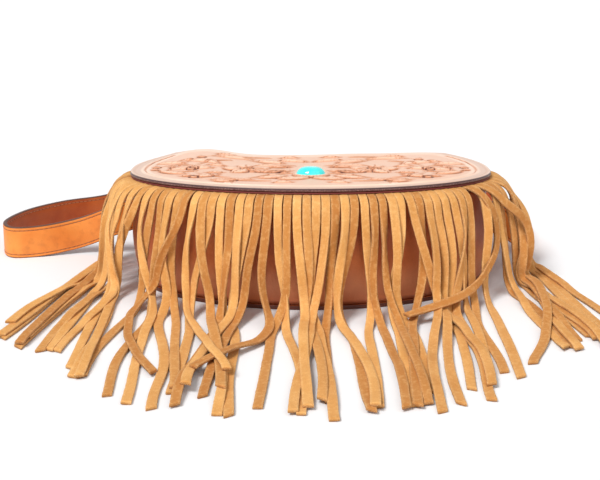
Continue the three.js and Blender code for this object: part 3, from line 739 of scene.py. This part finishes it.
def gusset(material):
    """The band round the body: it bulges a little and its lower half is softly creased."""
    rings, levels = 260, 22
    places = np.linspace(-0.995, 0.995, rings)[:, None]
    up = np.linspace(0, 1, levels)[None, :]
    bulge = GUSSET_BULGE * np.sin(np.pi * up) - GUSSET_PROUD
    ripple = 0.5 * np.sin(places * 38 + 2.2 * np.sin(up * 4)) * np.sin(np.pi * up)
    low = BACK_PANEL + SEAT_GAP

    def side(extra, wrinkle):
        x, y = plan_point(np.repeat(places, levels, 1), FLAP_OVERHANG - bulge - wrinkle + extra)
        high = face_height(y, -FRONT_PANEL - SEAT_GAP)
        return np.stack([x, y, low + (high - low) * up], -1)

    outer = side(0, ripple)
    inner = side(GUSSET, 0 * ripple)
    sections = np.concatenate([outer, inner[:, ::-1]], 1)
    points, faces = loft(sections)
    near_edge = np.concatenate([np.minimum(up, 1 - up)[0], np.minimum(up, 1 - up)[0][::-1]])
    edge = np.tile(smooth(1 - near_edge / 0.035), rings)
    height = np.concatenate([up[0], up[0][::-1]])
    # Painted highlight: a paler band a fifth of the way up the gusset stands in for the light on its lower
    # part.
    worn = np.tile(0.45 * np.exp(-(((height - 0.2) / 0.16) ** 2)), rings)
    made = piece(
        "gusset_leather", points, faces, material, "root", ["gusset"], "smooth_leather",
        edge=edge * 0.7, worn=worn,
    )
    merge_seams(made)


def stone():
    """A domed oval cabochon with a low upright girdle."""
    rings, columns = 22, 72
    t = np.linspace(0, 1, rings)[:, None]
    around = np.linspace(0, 2 * np.pi, columns, endpoint=False)[None, :]
    share = np.cos(t * np.pi / 2) ** 0.62
    girdle = 1.0
    rise = FLAP_HIGH - STONE_SEAT + SEAT_GAP + girdle * np.minimum(1, t * 8)
    rise = rise + (STONE_HEIGHT - girdle) * np.sin(t * np.pi / 2) ** 1.15
    share = np.maximum(share, 0.02)
    x = STONE_HALF_LENGTH * share * np.cos(around)
    y = STONE_Y + STONE_HALF_WIDTH * share * np.sin(around)
    points, faces = loft(on_face(x, y, rise))
    made = piece("turquoise", points, faces, stone_material(), "flap", ["turquoise_stone"], "turquoise")
    merge_seams(made)


def snap(material):
    """A domed stud under the flap and its ringed socket on the front panel."""
    def turned(name, profile, body_name, node):
        around = np.linspace(0, 2 * np.pi, 48, endpoint=False)[None, :]
        radius = np.array([r for r, _ in profile])[:, None]
        rise = np.array([h for _, h in profile])[:, None]
        x = radius * np.cos(around)
        y = SNAP_Y + radius * np.sin(around)
        points, faces = loft(on_face(x, y, rise + 0 * x))
        merge_seams(piece(name, points, faces, material, body_name, [node], "snap_metal"))

    low = SEAT_GAP
    turned("socket", [(2, low), (8, low), (8, low + 0.5), (7.4, low + 0.8), (5, low + 0.7), (4.4, low + 0.3),
                      (2, low + 0.25)], "root", "snap_socket")
    top = LINING_LOW - SEAT_GAP
    turned("stud", [(1, top), (8, top), (8, top - 0.3), (7.2, top - 0.6), (4, top - 0.5), (1, top - 0.6)],
           "flap", "snap_stud")


# The fringe


def chance(strand, purpose):
    """A repeatable number from 0 to 1 for each strand and purpose."""
    value = math.sin((strand + 100 * LAYOUT) * 12.9898 + purpose * 78.233) * 43758.5453
    return value - math.floor(value)


def between(strand, purpose, low, high):
    return low + (high - low) * chance(strand, purpose)


RIM_STEPS = 4000
rim_places = np.linspace(-1, 1, RIM_STEPS + 1)
rim_x, rim_y = plan_point(rim_places, 0)
rim_length = np.concatenate([[0], np.cumsum(np.hypot(np.diff(rim_x), np.diff(rim_y)))])
within = rim_length[rim_y <= REACH_PAST_TIPS]
RIM_START, RIM_END = within[0], within[-1]
STRAND_COUNT = int((RIM_END - RIM_START) // STRAND_PITCH)
FIRST_ROOT = (RIM_START + RIM_END - (STRAND_COUNT - 1) * STRAND_PITCH) / 2


def rim_at(length):
    """Points of the rim and its outward direction there."""
    x = np.interp(length, rim_length, rim_x)
    y = np.interp(length, rim_length, rim_y)
    dx = np.interp(length + 0.4, rim_length, rim_x) - np.interp(length - 0.4, rim_length, rim_x)
    dy = np.interp(length + 0.4, rim_length, rim_y) - np.interp(length - 0.4, rim_length, rim_y)
    size = np.hypot(dx, dy)
    return x, y, dy / size, -dx / size


# The surface that the strands lie on, as a grid of points: a length along the rim, past the
# fringe's ends too, and a run, which is the distance from the rim.
EXCESS = 90
lengths = np.arange(math.floor(RIM_START) - EXCESS, math.ceil(RIM_END) + EXCESS + 1.0)
runs = np.arange(-STRAND_TUCK, LONGEST_RUN + 1.0)


def drape_surface():
    """Each strand's plain way: an arch over the rim, a fall, a turn at its foot, then the table."""
    rooted = np.clip(lengths, RIM_START, RIM_END)
    x, y, out_x, out_y = rim_at(rooted)
    out_angle = np.arctan2(out_x, -out_y)
    quarter = np.abs(out_angle) / (math.pi / 2)
    table_angle = SIDE_SPREAD * out_angle * quarter**1.2 + (lengths - rooted) * SPLAY_PER_EXCESS
    arch = ARCH_RADIUS + EXTRA_ARCH_AT_TIPS * out_x**2
    foot = FOOT_RADIUS - TIGHTER_FOOT_AT_TIPS * out_x**2
    flare = FLARE_ANGLE * smooth((rooted - RIM_END + FLARE_LENGTH) / FLARE_LENGTH)
    fall = np.radians(FALL_ANGLE - flare)
    at = np.stack([x - out_x * STRAND_TUCK, y - out_y * STRAND_TUCK, 0 * x], -1)
    at[:, 2] = FACE_MID - at[:, 1] * math.tan(SLOPE) + (HEADER_LOW + (HEADER - STRAND) / 2) / math.cos(SLOPE)
    drop = at[:, 2] - TABLE_GAP
    straight = (drop - (arch + foot) * (1 - np.cos(fall))) / np.sin(fall)
    arch_end = arch * fall
    foot_start = arch_end + straight
    foot_end = foot_start + foot * fall
    rows = []
    ups = []
    for run in runs:
        rows.append(at.copy())
        pitch = np.where(run < arch_end, max(run, 0) / arch, fall)
        pitch = np.where(run >= foot_start, fall - (run - foot_start) / foot, pitch)
        pitch = np.where(run >= foot_end, 0, pitch)
        turn = smooth((run - arch_end) / (foot_end - arch_end + TURN_LENGTH))
        angle = out_angle + (table_angle - out_angle) * turn
        up_x, up_y = np.sin(angle) * np.sin(pitch), -np.cos(angle) * np.sin(pitch)
        ups.append(np.stack([up_x, up_y, np.cos(pitch)], -1))
        at[:, 0] += np.sin(angle) * np.cos(pitch)
        at[:, 1] -= np.cos(angle) * np.cos(pitch)
        at[:, 2] = np.maximum(TABLE_GAP, at[:, 2] - np.sin(pitch))
    return np.stack(rows, 1), np.stack(ups, 1)


surface, up_surface = drape_surface()
fan_surface = np.maximum(LEAST_FAN, np.linalg.norm(np.gradient(surface, axis=0), axis=-1))


def sampled(grid, length, run):
    """A grid's values at rim lengths and runs, blended from the four nearest."""
    a = np.clip(length - lengths[0], 0, len(lengths) - 1.001)
    b = np.clip(run - runs[0], 0, len(runs) - 1.001)
    i, j = a.astype(int), b.astype(int)
    s, t = a - i, b - j
    if grid.ndim == 3:
        s, t = s[:, None], t[:, None]
    low = grid[i, j] * (1 - t) + grid[i, j + 1] * t
    high = grid[i + 1, j] * (1 - t) + grid[i + 1, j + 1] * t
    return low * (1 - s) + high * s


def clump_at(length, purpose):
    """A slow random value along the rim, from -1 to 1, that neighbours share."""
    place = length / CLUMP_WIDTH
    low = math.floor(place)
    t = float(smooth(place - low))
    return (1 - t) * between(low, purpose, -1, 1) + t * between(low + 1, purpose, -1, 1)


def sway(strand, root, run):
    """How far a strand lies to the side of its root, at each run."""
    if strand in CHOSEN_SWAYS:
        given = CHOSEN_SWAYS[strand]
        places = np.array([place for place, _ in given], float)
        values = np.array([value for _, value in given], float)
        after = np.clip(np.searchsorted(places, run, side="right"), 1, len(places) - 1)
        t = smooth((run - places[after - 1]) / (places[after] - places[after - 1]))
        eased = values[after - 1] + (values[after] - values[after - 1]) * t
        return np.where(run < places[0], values[0] * smooth(run / places[0]), eased)
    out_x = float(rim_at(root)[2])
    clump = clump_at(root, 21) * CLUMP_SWAY * smooth((run - SWAY_START) / 50)
    stray = out_x**4 * between(strand, 7, -0.3, 1) * OUTWARD_SWAY
    outward = math.copysign(1, out_x) * stray * smooth((run - 60) / 150)
    lean = clump_at(root, 22) * CLUMP_LEAN * smooth((run - 60) / 150)
    drift = between(strand, 2, -DRIFT_REACH, DRIFT_REACH) * smooth((run - 30) / 200)
    turns = run / between(strand, 4, 110, 230) + chance(strand, 5)
    wave = between(strand, 3, 2, 7) * np.sin(2 * math.pi * turns) * smooth((run - SWAY_START) / 90)
    slant = between(strand, 11, -1, 1) ** 3 * MOST_SLANT * smooth((run - 8) / 90)
    calm = 1 - CALM_ON_TABLE * smooth((run - 90) / 60)
    return clump + outward + lean + drift + slant + wave * calm * smooth((run - SWAY_START) / 90)


path_runs = np.arange(-STRAND_TUCK, LONGEST_RUN, 1.5)
BOW_END = 84
MOST_BOW = 3.5
CLIMB = 0.14
STEEPEST_LIFT = 0.3
MEETING_SHARE = 0.94
MOST_BOW_AT_RIGHT = 10


def eased(values, count):
    """A moving average over an odd count of samples, with the ends held."""
    padded = np.pad(values, count // 2, mode="edge")
    return np.convolve(padded, np.ones(count) / count, mode="valid")


def bow(strand, root, run):
    """How far a strand stands off the drape between the rim and the table, most at the right tip."""
    at_right = smooth((root - RIM_END + 26) / 20)
    most = MOST_BOW * chance(strand, 25) ** 2 + MOST_BOW_AT_RIGHT * between(strand, 26, 0.2, 1) * at_right
    return most * np.sin(np.pi * np.clip((run - 6) / (BOW_END - 6), 0, 1)) ** 1.5


def lay_strands():
    """Each strand's rim lengths, lifts and end over the common runs, laid one over another."""
    def lateness(strand):
        return chance(strand, 9) + (1 if strand in CHOSEN_SWAYS else 0)

    tent = CLIMB * np.abs(path_runs[:, None] - path_runs[None, :])
    most = np.clip((path_runs - 4) * STEEPEST_LIFT, 0, None)
    laid = {}
    for strand in sorted(range(STRAND_COUNT), key=lateness):
        root = FIRST_ROOT + strand * STRAND_PITCH
        own_length = STRAND_LENGTH + between(strand, 6, -STRAND_LENGTH_SPREAD, STRAND_LENGTH_SPREAD)
        end = CHOSEN_SWAYS[strand][-1][0] if strand in CHOSEN_SWAYS else own_length
        fan = sampled(fan_surface, np.full_like(path_runs, root), path_runs)
        place = root + eased(eased(sway(strand, root, path_runs) / fan, 15), 9)
        own_fan = sampled(fan_surface, place, path_runs)
        slant = np.hypot(1, np.gradient(place, path_runs) * own_fan)
        needed = np.zeros_like(path_runs)
        for other in laid.values():
            apart = np.abs(place - other["place"]) * own_fan
            meets = apart < STRAND_WIDTH / 2 * (slant + other["slant"]) * MEETING_SHARE
            meets &= (path_runs > SWAY_START - 6) & (path_runs < other["end"] + 2)
            needed = np.where(meets, np.maximum(needed, other["lift"] + STRAND_BODY + LAYER_GAP), needed)
        lift = (needed[None, :] - tent).max(1)
        lift = np.minimum(np.clip(lift, 0, None), most)
        lift = eased(lift, 9) + bow(strand, root, path_runs)
        laid[strand] = {"place": place, "lift": lift, "slant": slant, "end": end}
    return laid


# A strand's section, as shares of its half width and half thickness, from edge to edge and back
SECTION = np.array([
    (-1.0, 0.7), (-0.93, 1.0), (-0.5, 1.0), (0.0, 1.0), (0.5, 1.0), (0.93, 1.0), (1.0, 0.7),
    (1.0, -0.7), (0.93, -1.0), (0.4, -1.0), (-0.4, -1.0), (-0.93, -1.0), (-1.0, -0.7),
])
STRAND_STEP = 2.6
FUZZ = 0.07
ROLL_ON_TABLE = 5
LEAST_ROLL_HANGING = 8
EXTRA_ROLL_HANGING = 52
WIDER_ON_TABLE = 0.1


def strand_mesh(strand, laid):
    """One strand as a closed ribbon, a little cupped and twisted, with an obliquely cut tip."""
    kept = path_runs <= laid["end"]
    run, place, lift = path_runs[kept], laid["place"][kept], laid["lift"][kept]
    at = sampled(surface, place, run)
    up = sampled(up_surface, place, run)
    up /= np.linalg.norm(up, axis=1, keepdims=True)
    hanging = 1 - smooth((run - 78) / 34)
    extra_roll = (LEAST_ROLL_HANGING + EXTRA_ROLL_HANGING * chance(strand, 14) ** 2) * hanging
    most_roll = np.radians(ROLL_ON_TABLE + extra_roll)
    roll = most_roll * np.sin(2 * math.pi * (run / between(strand, 15, 110, 210) + chance(strand, 16)))
    roll *= smooth((run - 8) / 30)
    raise_by = lift + STRAND / 2 + 0.75 * np.abs(np.sin(roll)) * STRAND_WIDTH / 2
    centres = at + up * raise_by[:, None]
    travelled = np.concatenate([[0], np.cumsum(np.linalg.norm(np.diff(centres, axis=0), axis=1))])
    wanted = np.linspace(0, travelled[-1], max(8, int(travelled[-1] / STRAND_STEP)))

    def resampled(values):
        if values.ndim == 1:
            return np.interp(wanted, travelled, values)
        return np.stack([np.interp(wanted, travelled, values[:, k]) for k in range(3)], -1)

    centres, up, roll = resampled(centres), resampled(up), resampled(roll)
    along = np.gradient(centres, axis=0)
    along /= np.linalg.norm(along, axis=1, keepdims=True)
    side = np.cross(up, along)
    side /= np.linalg.norm(side, axis=1, keepdims=True)
    up = np.cross(along, side)
    cosine, sine = np.cos(roll)[:, None], np.sin(roll)[:, None]
    side, up = side * cosine + up * sine, up * cosine - side * sine
    width = STRAND_WIDTH * (1 + 0.03 * np.sin(wanted / between(strand, 17, 12, 22) + strand))
    width *= between(strand, 18, 0.92, 1.05) * (1 + WIDER_ON_TABLE * smooth((wanted - 80) / 60))
    random = np.random.default_rng(1000 + strand)
    cup = between(strand, 19, -0.4, 0.5)
    s, t = SECTION[:, 0], SECTION[:, 1]
    across = s[None, :] * width[:, None] / 2
    height = t[None, :] * STRAND_BODY / 2 + cup * (s**2 - 0.35)[None, :]
    fuzz = random.normal(0, FUZZ, across.shape) * (np.abs(s) > 0.8)
    skew = between(strand, 20, -2.4, 2.4) * np.exp(-(wanted[-1] - wanted) / 3)
    sections = centres[:, None, :] + side[:, None, :] * (across + fuzz)[..., None]
    sections = sections + up[:, None, :] * height[..., None]
    sections = sections + along[:, None, :] * (skew[:, None] * s[None, :])[..., None]
    sections[..., 2] = np.maximum(sections[..., 2], 0.15)
    points, faces = loft(sections)
    rows = len(wanted)
    edge = np.tile(np.abs(s) > 0.8, rows).astype(float)
    # The underside, which the suede darkens with painted shade.
    flesh = np.tile(t < -0.5, rows).astype(float)
    tone = np.full(len(points), between(strand, 23, -1, 1))
    return points, faces, edge, flesh, tone


def header_mesh(first, last):
    """The uncut band that a strip's strands hang from."""
    start = FIRST_ROOT + (first - 0.5) * STRAND_PITCH + SEAT_GAP / 2
    end = FIRST_ROOT + (last + 0.5) * STRAND_PITCH - SEAT_GAP / 2
    x, y, out_x, out_y = rim_at(np.linspace(start, end, 26))
    rings = []
    for inset, rise in [(HEADER_INSET, HEADER_LOW), (HEADER_INSET, HEADER_HIGH), (HEADER_WIDTH, HEADER_HIGH),
                        (HEADER_WIDTH, HEADER_LOW)]:
        rings.append(on_face(x - out_x * inset, y - out_y * inset, rise))
    points, faces = loft(np.stack(rings, 1))
    return points, faces, np.zeros(len(points)), np.zeros(len(points)), np.zeros(len(points))


def fringe():
    """The nine strips, each with its band and its strands."""
    material = suede_material()
    laid = lay_strands()
    for i in range(STRIP_COUNT):
        first = math.floor(STRAND_COUNT * i / STRIP_COUNT + 0.5)
        last = math.floor(STRAND_COUNT * (i + 1) / STRIP_COUNT + 0.5) - 1
        made = [header_mesh(first, last)]
        made += [strand_mesh(strand, laid[strand]) for strand in range(first, last + 1)]
        points, faces = join([(one[0], one[1]) for one in made])
        edge, flesh, tone = [np.concatenate([one[k] for one in made]) for k in (2, 3, 4)]
        name = f"fringe_strip_{i + 1}"
        piece(
            f"suede_{name}", points, faces, material, "flap", [name], "suede",
            edge=edge, flesh=flesh, tone=tone,
        )


# The strap


def strap_points():
    """The same points as the strap's solid has: x, y and the height of its middle."""
    side, rear, anchor, rest = FLAP_HALF_WIDTH, MOUTH_Y, STRAP_ANCHOR, STRAP_REST

    def seat_x(y):
        x, _ = plan_point(1 - SIDE_SHARE + SIDE_SHARE * y / MOUTH_Y, FLAP_OVERHANG + GUSSET_PROUD)
        return float(x) + GUSSET_BULGE + 2 * SEAT_GAP + STRAP_THICKNESS / 2

    seats = [rear - 10, rear - 20, rear - 30]
    left = [(-seat_x(y), y, anchor) for y in seats]
    right = [(seat_x(y), y, anchor) for y in seats[::-1]]
    return np.array(left + [
        (-side - 16, rear - 40, anchor - 6), (-side - 46, rear - 36, rest + 5), (-side - 80, rear - 44, rest),
        (-side - 100, rear - 46, rest), (-side - 107, rear - 32, rest), (-side - 96, rear, rest),
        (-side - 69, rear + 28, rest), (-side - 37, rear + 46, rest), (-side - 14, rear + 76, rest),
        (-side + 20, rear + 102, rest), (-side + 90, rear + 112, rest), (side - 90, rear + 112, rest),
        (side - 20, rear + 102, rest), (side + 13, rear + 72, rest), (side + 31, rear + 30, rest),
        (side + 35, rear - 14, rest), (side + 29, rear - 38, rest + 5), (side + 17, rear - 42, anchor - 8),
    ] + right, float)


def centripetal(points, count):
    """A smooth curve through the points, sampled evenly along its length."""
    padded = np.concatenate([[2 * points[0] - points[1]], points, [2 * points[-1] - points[-2]]])
    pieces = []
    for k in range(1, len(padded) - 2):
        p0, p1, p2, p3 = padded[k - 1 : k + 3]
        knots = [np.linalg.norm(b - a) ** 0.5 for a, b in ((p0, p1), (p1, p2), (p2, p3))]
        m1 = ((p1 - p0) / knots[0] - (p2 - p0) / (knots[0] + knots[1]) + (p2 - p1) / knots[1]) * knots[1]
        m2 = ((p2 - p1) / knots[1] - (p3 - p1) / (knots[1] + knots[2]) + (p3 - p2) / knots[2]) * knots[1]
        t = np.linspace(0, 1, 40, endpoint=False)[:, None]
        pieces.append(
            p1 + m1 * t + (-3 * p1 + 3 * p2 - 2 * m1 - m2) * t**2 + (2 * p1 - 2 * p2 + m1 + m2) * t**3
        )
    curve = np.concatenate(pieces + [points[-1:]])
    travelled = np.concatenate([[0], np.cumsum(np.linalg.norm(np.diff(curve, axis=0), axis=1))])
    wanted = np.linspace(0, travelled[-1], count)
    return np.stack([np.interp(wanted, travelled, curve[:, k]) for k in range(3)], -1), travelled[-1]


STITCH_PITCH = 3.6
STITCH_LENGTH = 2.6
STITCH_WIDTH = 0.8
STITCH_INSET = 2.6
STITCH_SINK = 0.18


def strap():
    """The band on its edge, with pressed stitch lines, and its stitches."""
    centres, length = centripetal(strap_points(), 420)
    along = np.gradient(centres, axis=0)
    along[:, 2] = 0
    along /= np.linalg.norm(along, axis=1, keepdims=True)
    out = np.stack([along[:, 1], -along[:, 0], 0 * along[:, 0]], -1)
    half_t, half_w = STRAP_THICKNESS / 2, STRAP_WIDTH / 2
    ups = np.array([-1, -0.985, -0.93, -0.84, -0.79, -0.74, -0.4, 0, 0.4, 0.74, 0.79, 0.84, 0.93, 0.985, 1])
    outs = np.array([0.45, 0.85, 1, 1, 0.86, 1, 1, 1, 1, 1, 0.86, 1, 1, 0.85, 0.45])
    ring_up = np.concatenate([ups, ups[::-1]])
    ring_out = np.concatenate([outs, -outs[::-1]])
    sections = centres[:, None, :] + out[:, None, :] * (ring_out * half_t)[None, :, None]
    sections = sections + np.array([0, 0, 1.0]) * (ring_up * half_w)[None, :, None]
    points, faces = loft(sections)
    rows = len(centres)
    edge = np.tile(np.abs(ring_up) > 0.97, rows).astype(float)
    # The flesh side, which the strap leather darkens with painted shade.
    flesh = np.tile(ring_out > 0, rows).astype(float)
    line = np.tile(np.abs(np.abs(ring_up) - 0.79) < 0.02, rows).astype(float)
    made = piece("strap_leather_band", points, faces, strap_material(), "root", ["strap"], "strap_leather",
                 edge=edge, flesh=flesh, stitch_line=line)
    merge_seams(made)
    strap_stitches(centres, along, out, length)


def stitch(centre, along, out, up):
    """One thread stitch: a short bulging bar."""
    t = np.array([-1, -0.75, 0, 0.75, 1])
    size = np.array([0.25, 0.85, 1, 0.85, 0.25])
    around = np.linspace(0, 2 * np.pi, 6, endpoint=False)
    ring = out[None, None, :] * np.cos(around)[None, :, None]
    ring = ring + up[None, None, :] * np.sin(around)[None, :, None]
    place = along * (t * STITCH_LENGTH / 2)[:, None, None]
    return loft(centre + place + ring * (size * STITCH_WIDTH / 2)[:, None, None])


def strap_stitches(centres, along, out, length):
    """Two rows of stitches on each side of the strap."""
    count = int(length / STITCH_PITCH)
    places = np.linspace(4, len(centres) - 5, count)
    up = np.array([0, 0, 1.0])
    rows = []
    for place in places:
        i = int(place)
        t = place - i
        centre = centres[i] * (1 - t) + centres[i + 1] * t
        for edge in (-1, 1):
            for side in (-1, 1):
                at = centre + up * edge * (STRAP_WIDTH / 2 - STITCH_INSET)
                at = at + out[i] * side * (STRAP_THICKNESS / 2 - STITCH_SINK)
                rows.append(stitch(at, along[i], out[i], up))
    points, faces = join(rows)
    thread = thread_material("strap_thread", (188, 112, 62))
    piece("strap_stitching", points, faces, thread, "root", slot="strap_leather")


# Camera, floor and light

CAMERA_AT = (-0.008, -1.169, 0.395)
CAMERA_PITCH = 72.5
CAMERA_LENS = 96


def camera():
    """The photograph's view, from the curved rim's side."""
    data = bpy.data.cameras.new("camera")
    data.lens = CAMERA_LENS
    data.sensor_width = 36
    data.clip_end = 50
    made = bpy.data.objects.new("camera", data)
    made.location = CAMERA_AT
    made.rotation_euler = (math.radians(CAMERA_PITCH), 0, 0)
    bpy.context.scene.collection.objects.link(made)
    bpy.context.scene.camera = made


def white_rays(tree):
    """A factor that is 1 for what the camera sees itself, in a reflection or through glass."""
    path = tree.nodes.new("ShaderNodeLightPath")
    factor = path.outputs["Is Camera Ray"]
    for kind in ("Is Glossy Ray", "Is Transmission Ray"):
        either = tree.nodes.new("ShaderNodeMath")
        either.operation = "MAXIMUM"
        tree.links.new(factor, either.inputs[0])
        tree.links.new(path.outputs[kind], either.inputs[1])
        factor = either.outputs[0]
    return factor


def floor():
    """A plain pale table."""
    mesh = bpy.data.meshes.new("floor")
    far = 12
    mesh.from_pydata([(-far, -far, 0), (far, -far, 0), (far, far, 0), (-far, far, 0)], [], [(0, 1, 2, 3)])
    made = bpy.data.objects.new("floor", mesh)
    material = bpy.data.materials.new("floor")
    material.use_nodes = True
    shader = material.node_tree.nodes["Principled BSDF"]
    shader.inputs["Base Color"].default_value = (0.93, 0.935, 0.945, 1)
    shader.inputs["Roughness"].default_value = 0.9
    shader.inputs["Specular IOR Level"].default_value = 0.1
    mesh.materials.append(material)
    bpy.context.scene.collection.objects.link(made)


AMBIENT = 0.42

# Each sun's name, turn and tilt in degrees, strength, and softness in degrees
SUNS = [("key", -34, 40, 2.5, 20), ("fill", 40, 52, 0.5, 60)]


def light():
    """Two soft suns and an even sky. The camera sees the sky white."""
    world = bpy.data.worlds.new("world")
    bpy.context.scene.world = world
    world.use_nodes = True
    tree = world.node_tree
    plain = tree.nodes["Background"]
    plain.inputs["Color"].default_value = (0.97, 0.985, 1, 1)
    plain.inputs["Strength"].default_value = AMBIENT
    seen = tree.nodes.new("ShaderNodeBackground")
    seen.inputs["Color"].default_value = (1, 1, 1, 1)
    seen.inputs["Strength"].default_value = 1
    blend = tree.nodes.new("ShaderNodeMixShader")
    tree.links.new(white_rays(tree), blend.inputs[0])
    tree.links.new(plain.outputs[0], blend.inputs[1])
    tree.links.new(seen.outputs[0], blend.inputs[2])
    tree.links.new(blend.outputs[0], tree.nodes["World Output"].inputs["Surface"])
    for name, turn, tilt, strength, soft in SUNS:
        data = bpy.data.lights.new(name, "SUN")
        data.energy = strength
        data.angle = math.radians(soft)
        made = bpy.data.objects.new(name, data)
        made.rotation_euler = (math.radians(tilt), 0, math.radians(turn))
        bpy.context.scene.collection.objects.link(made)


bpy.context.scene.view_settings.view_transform = "Standard"
camera()
floor()
light()
body()
flap()
stone()
snap(brass_material())
strap()
fringe()
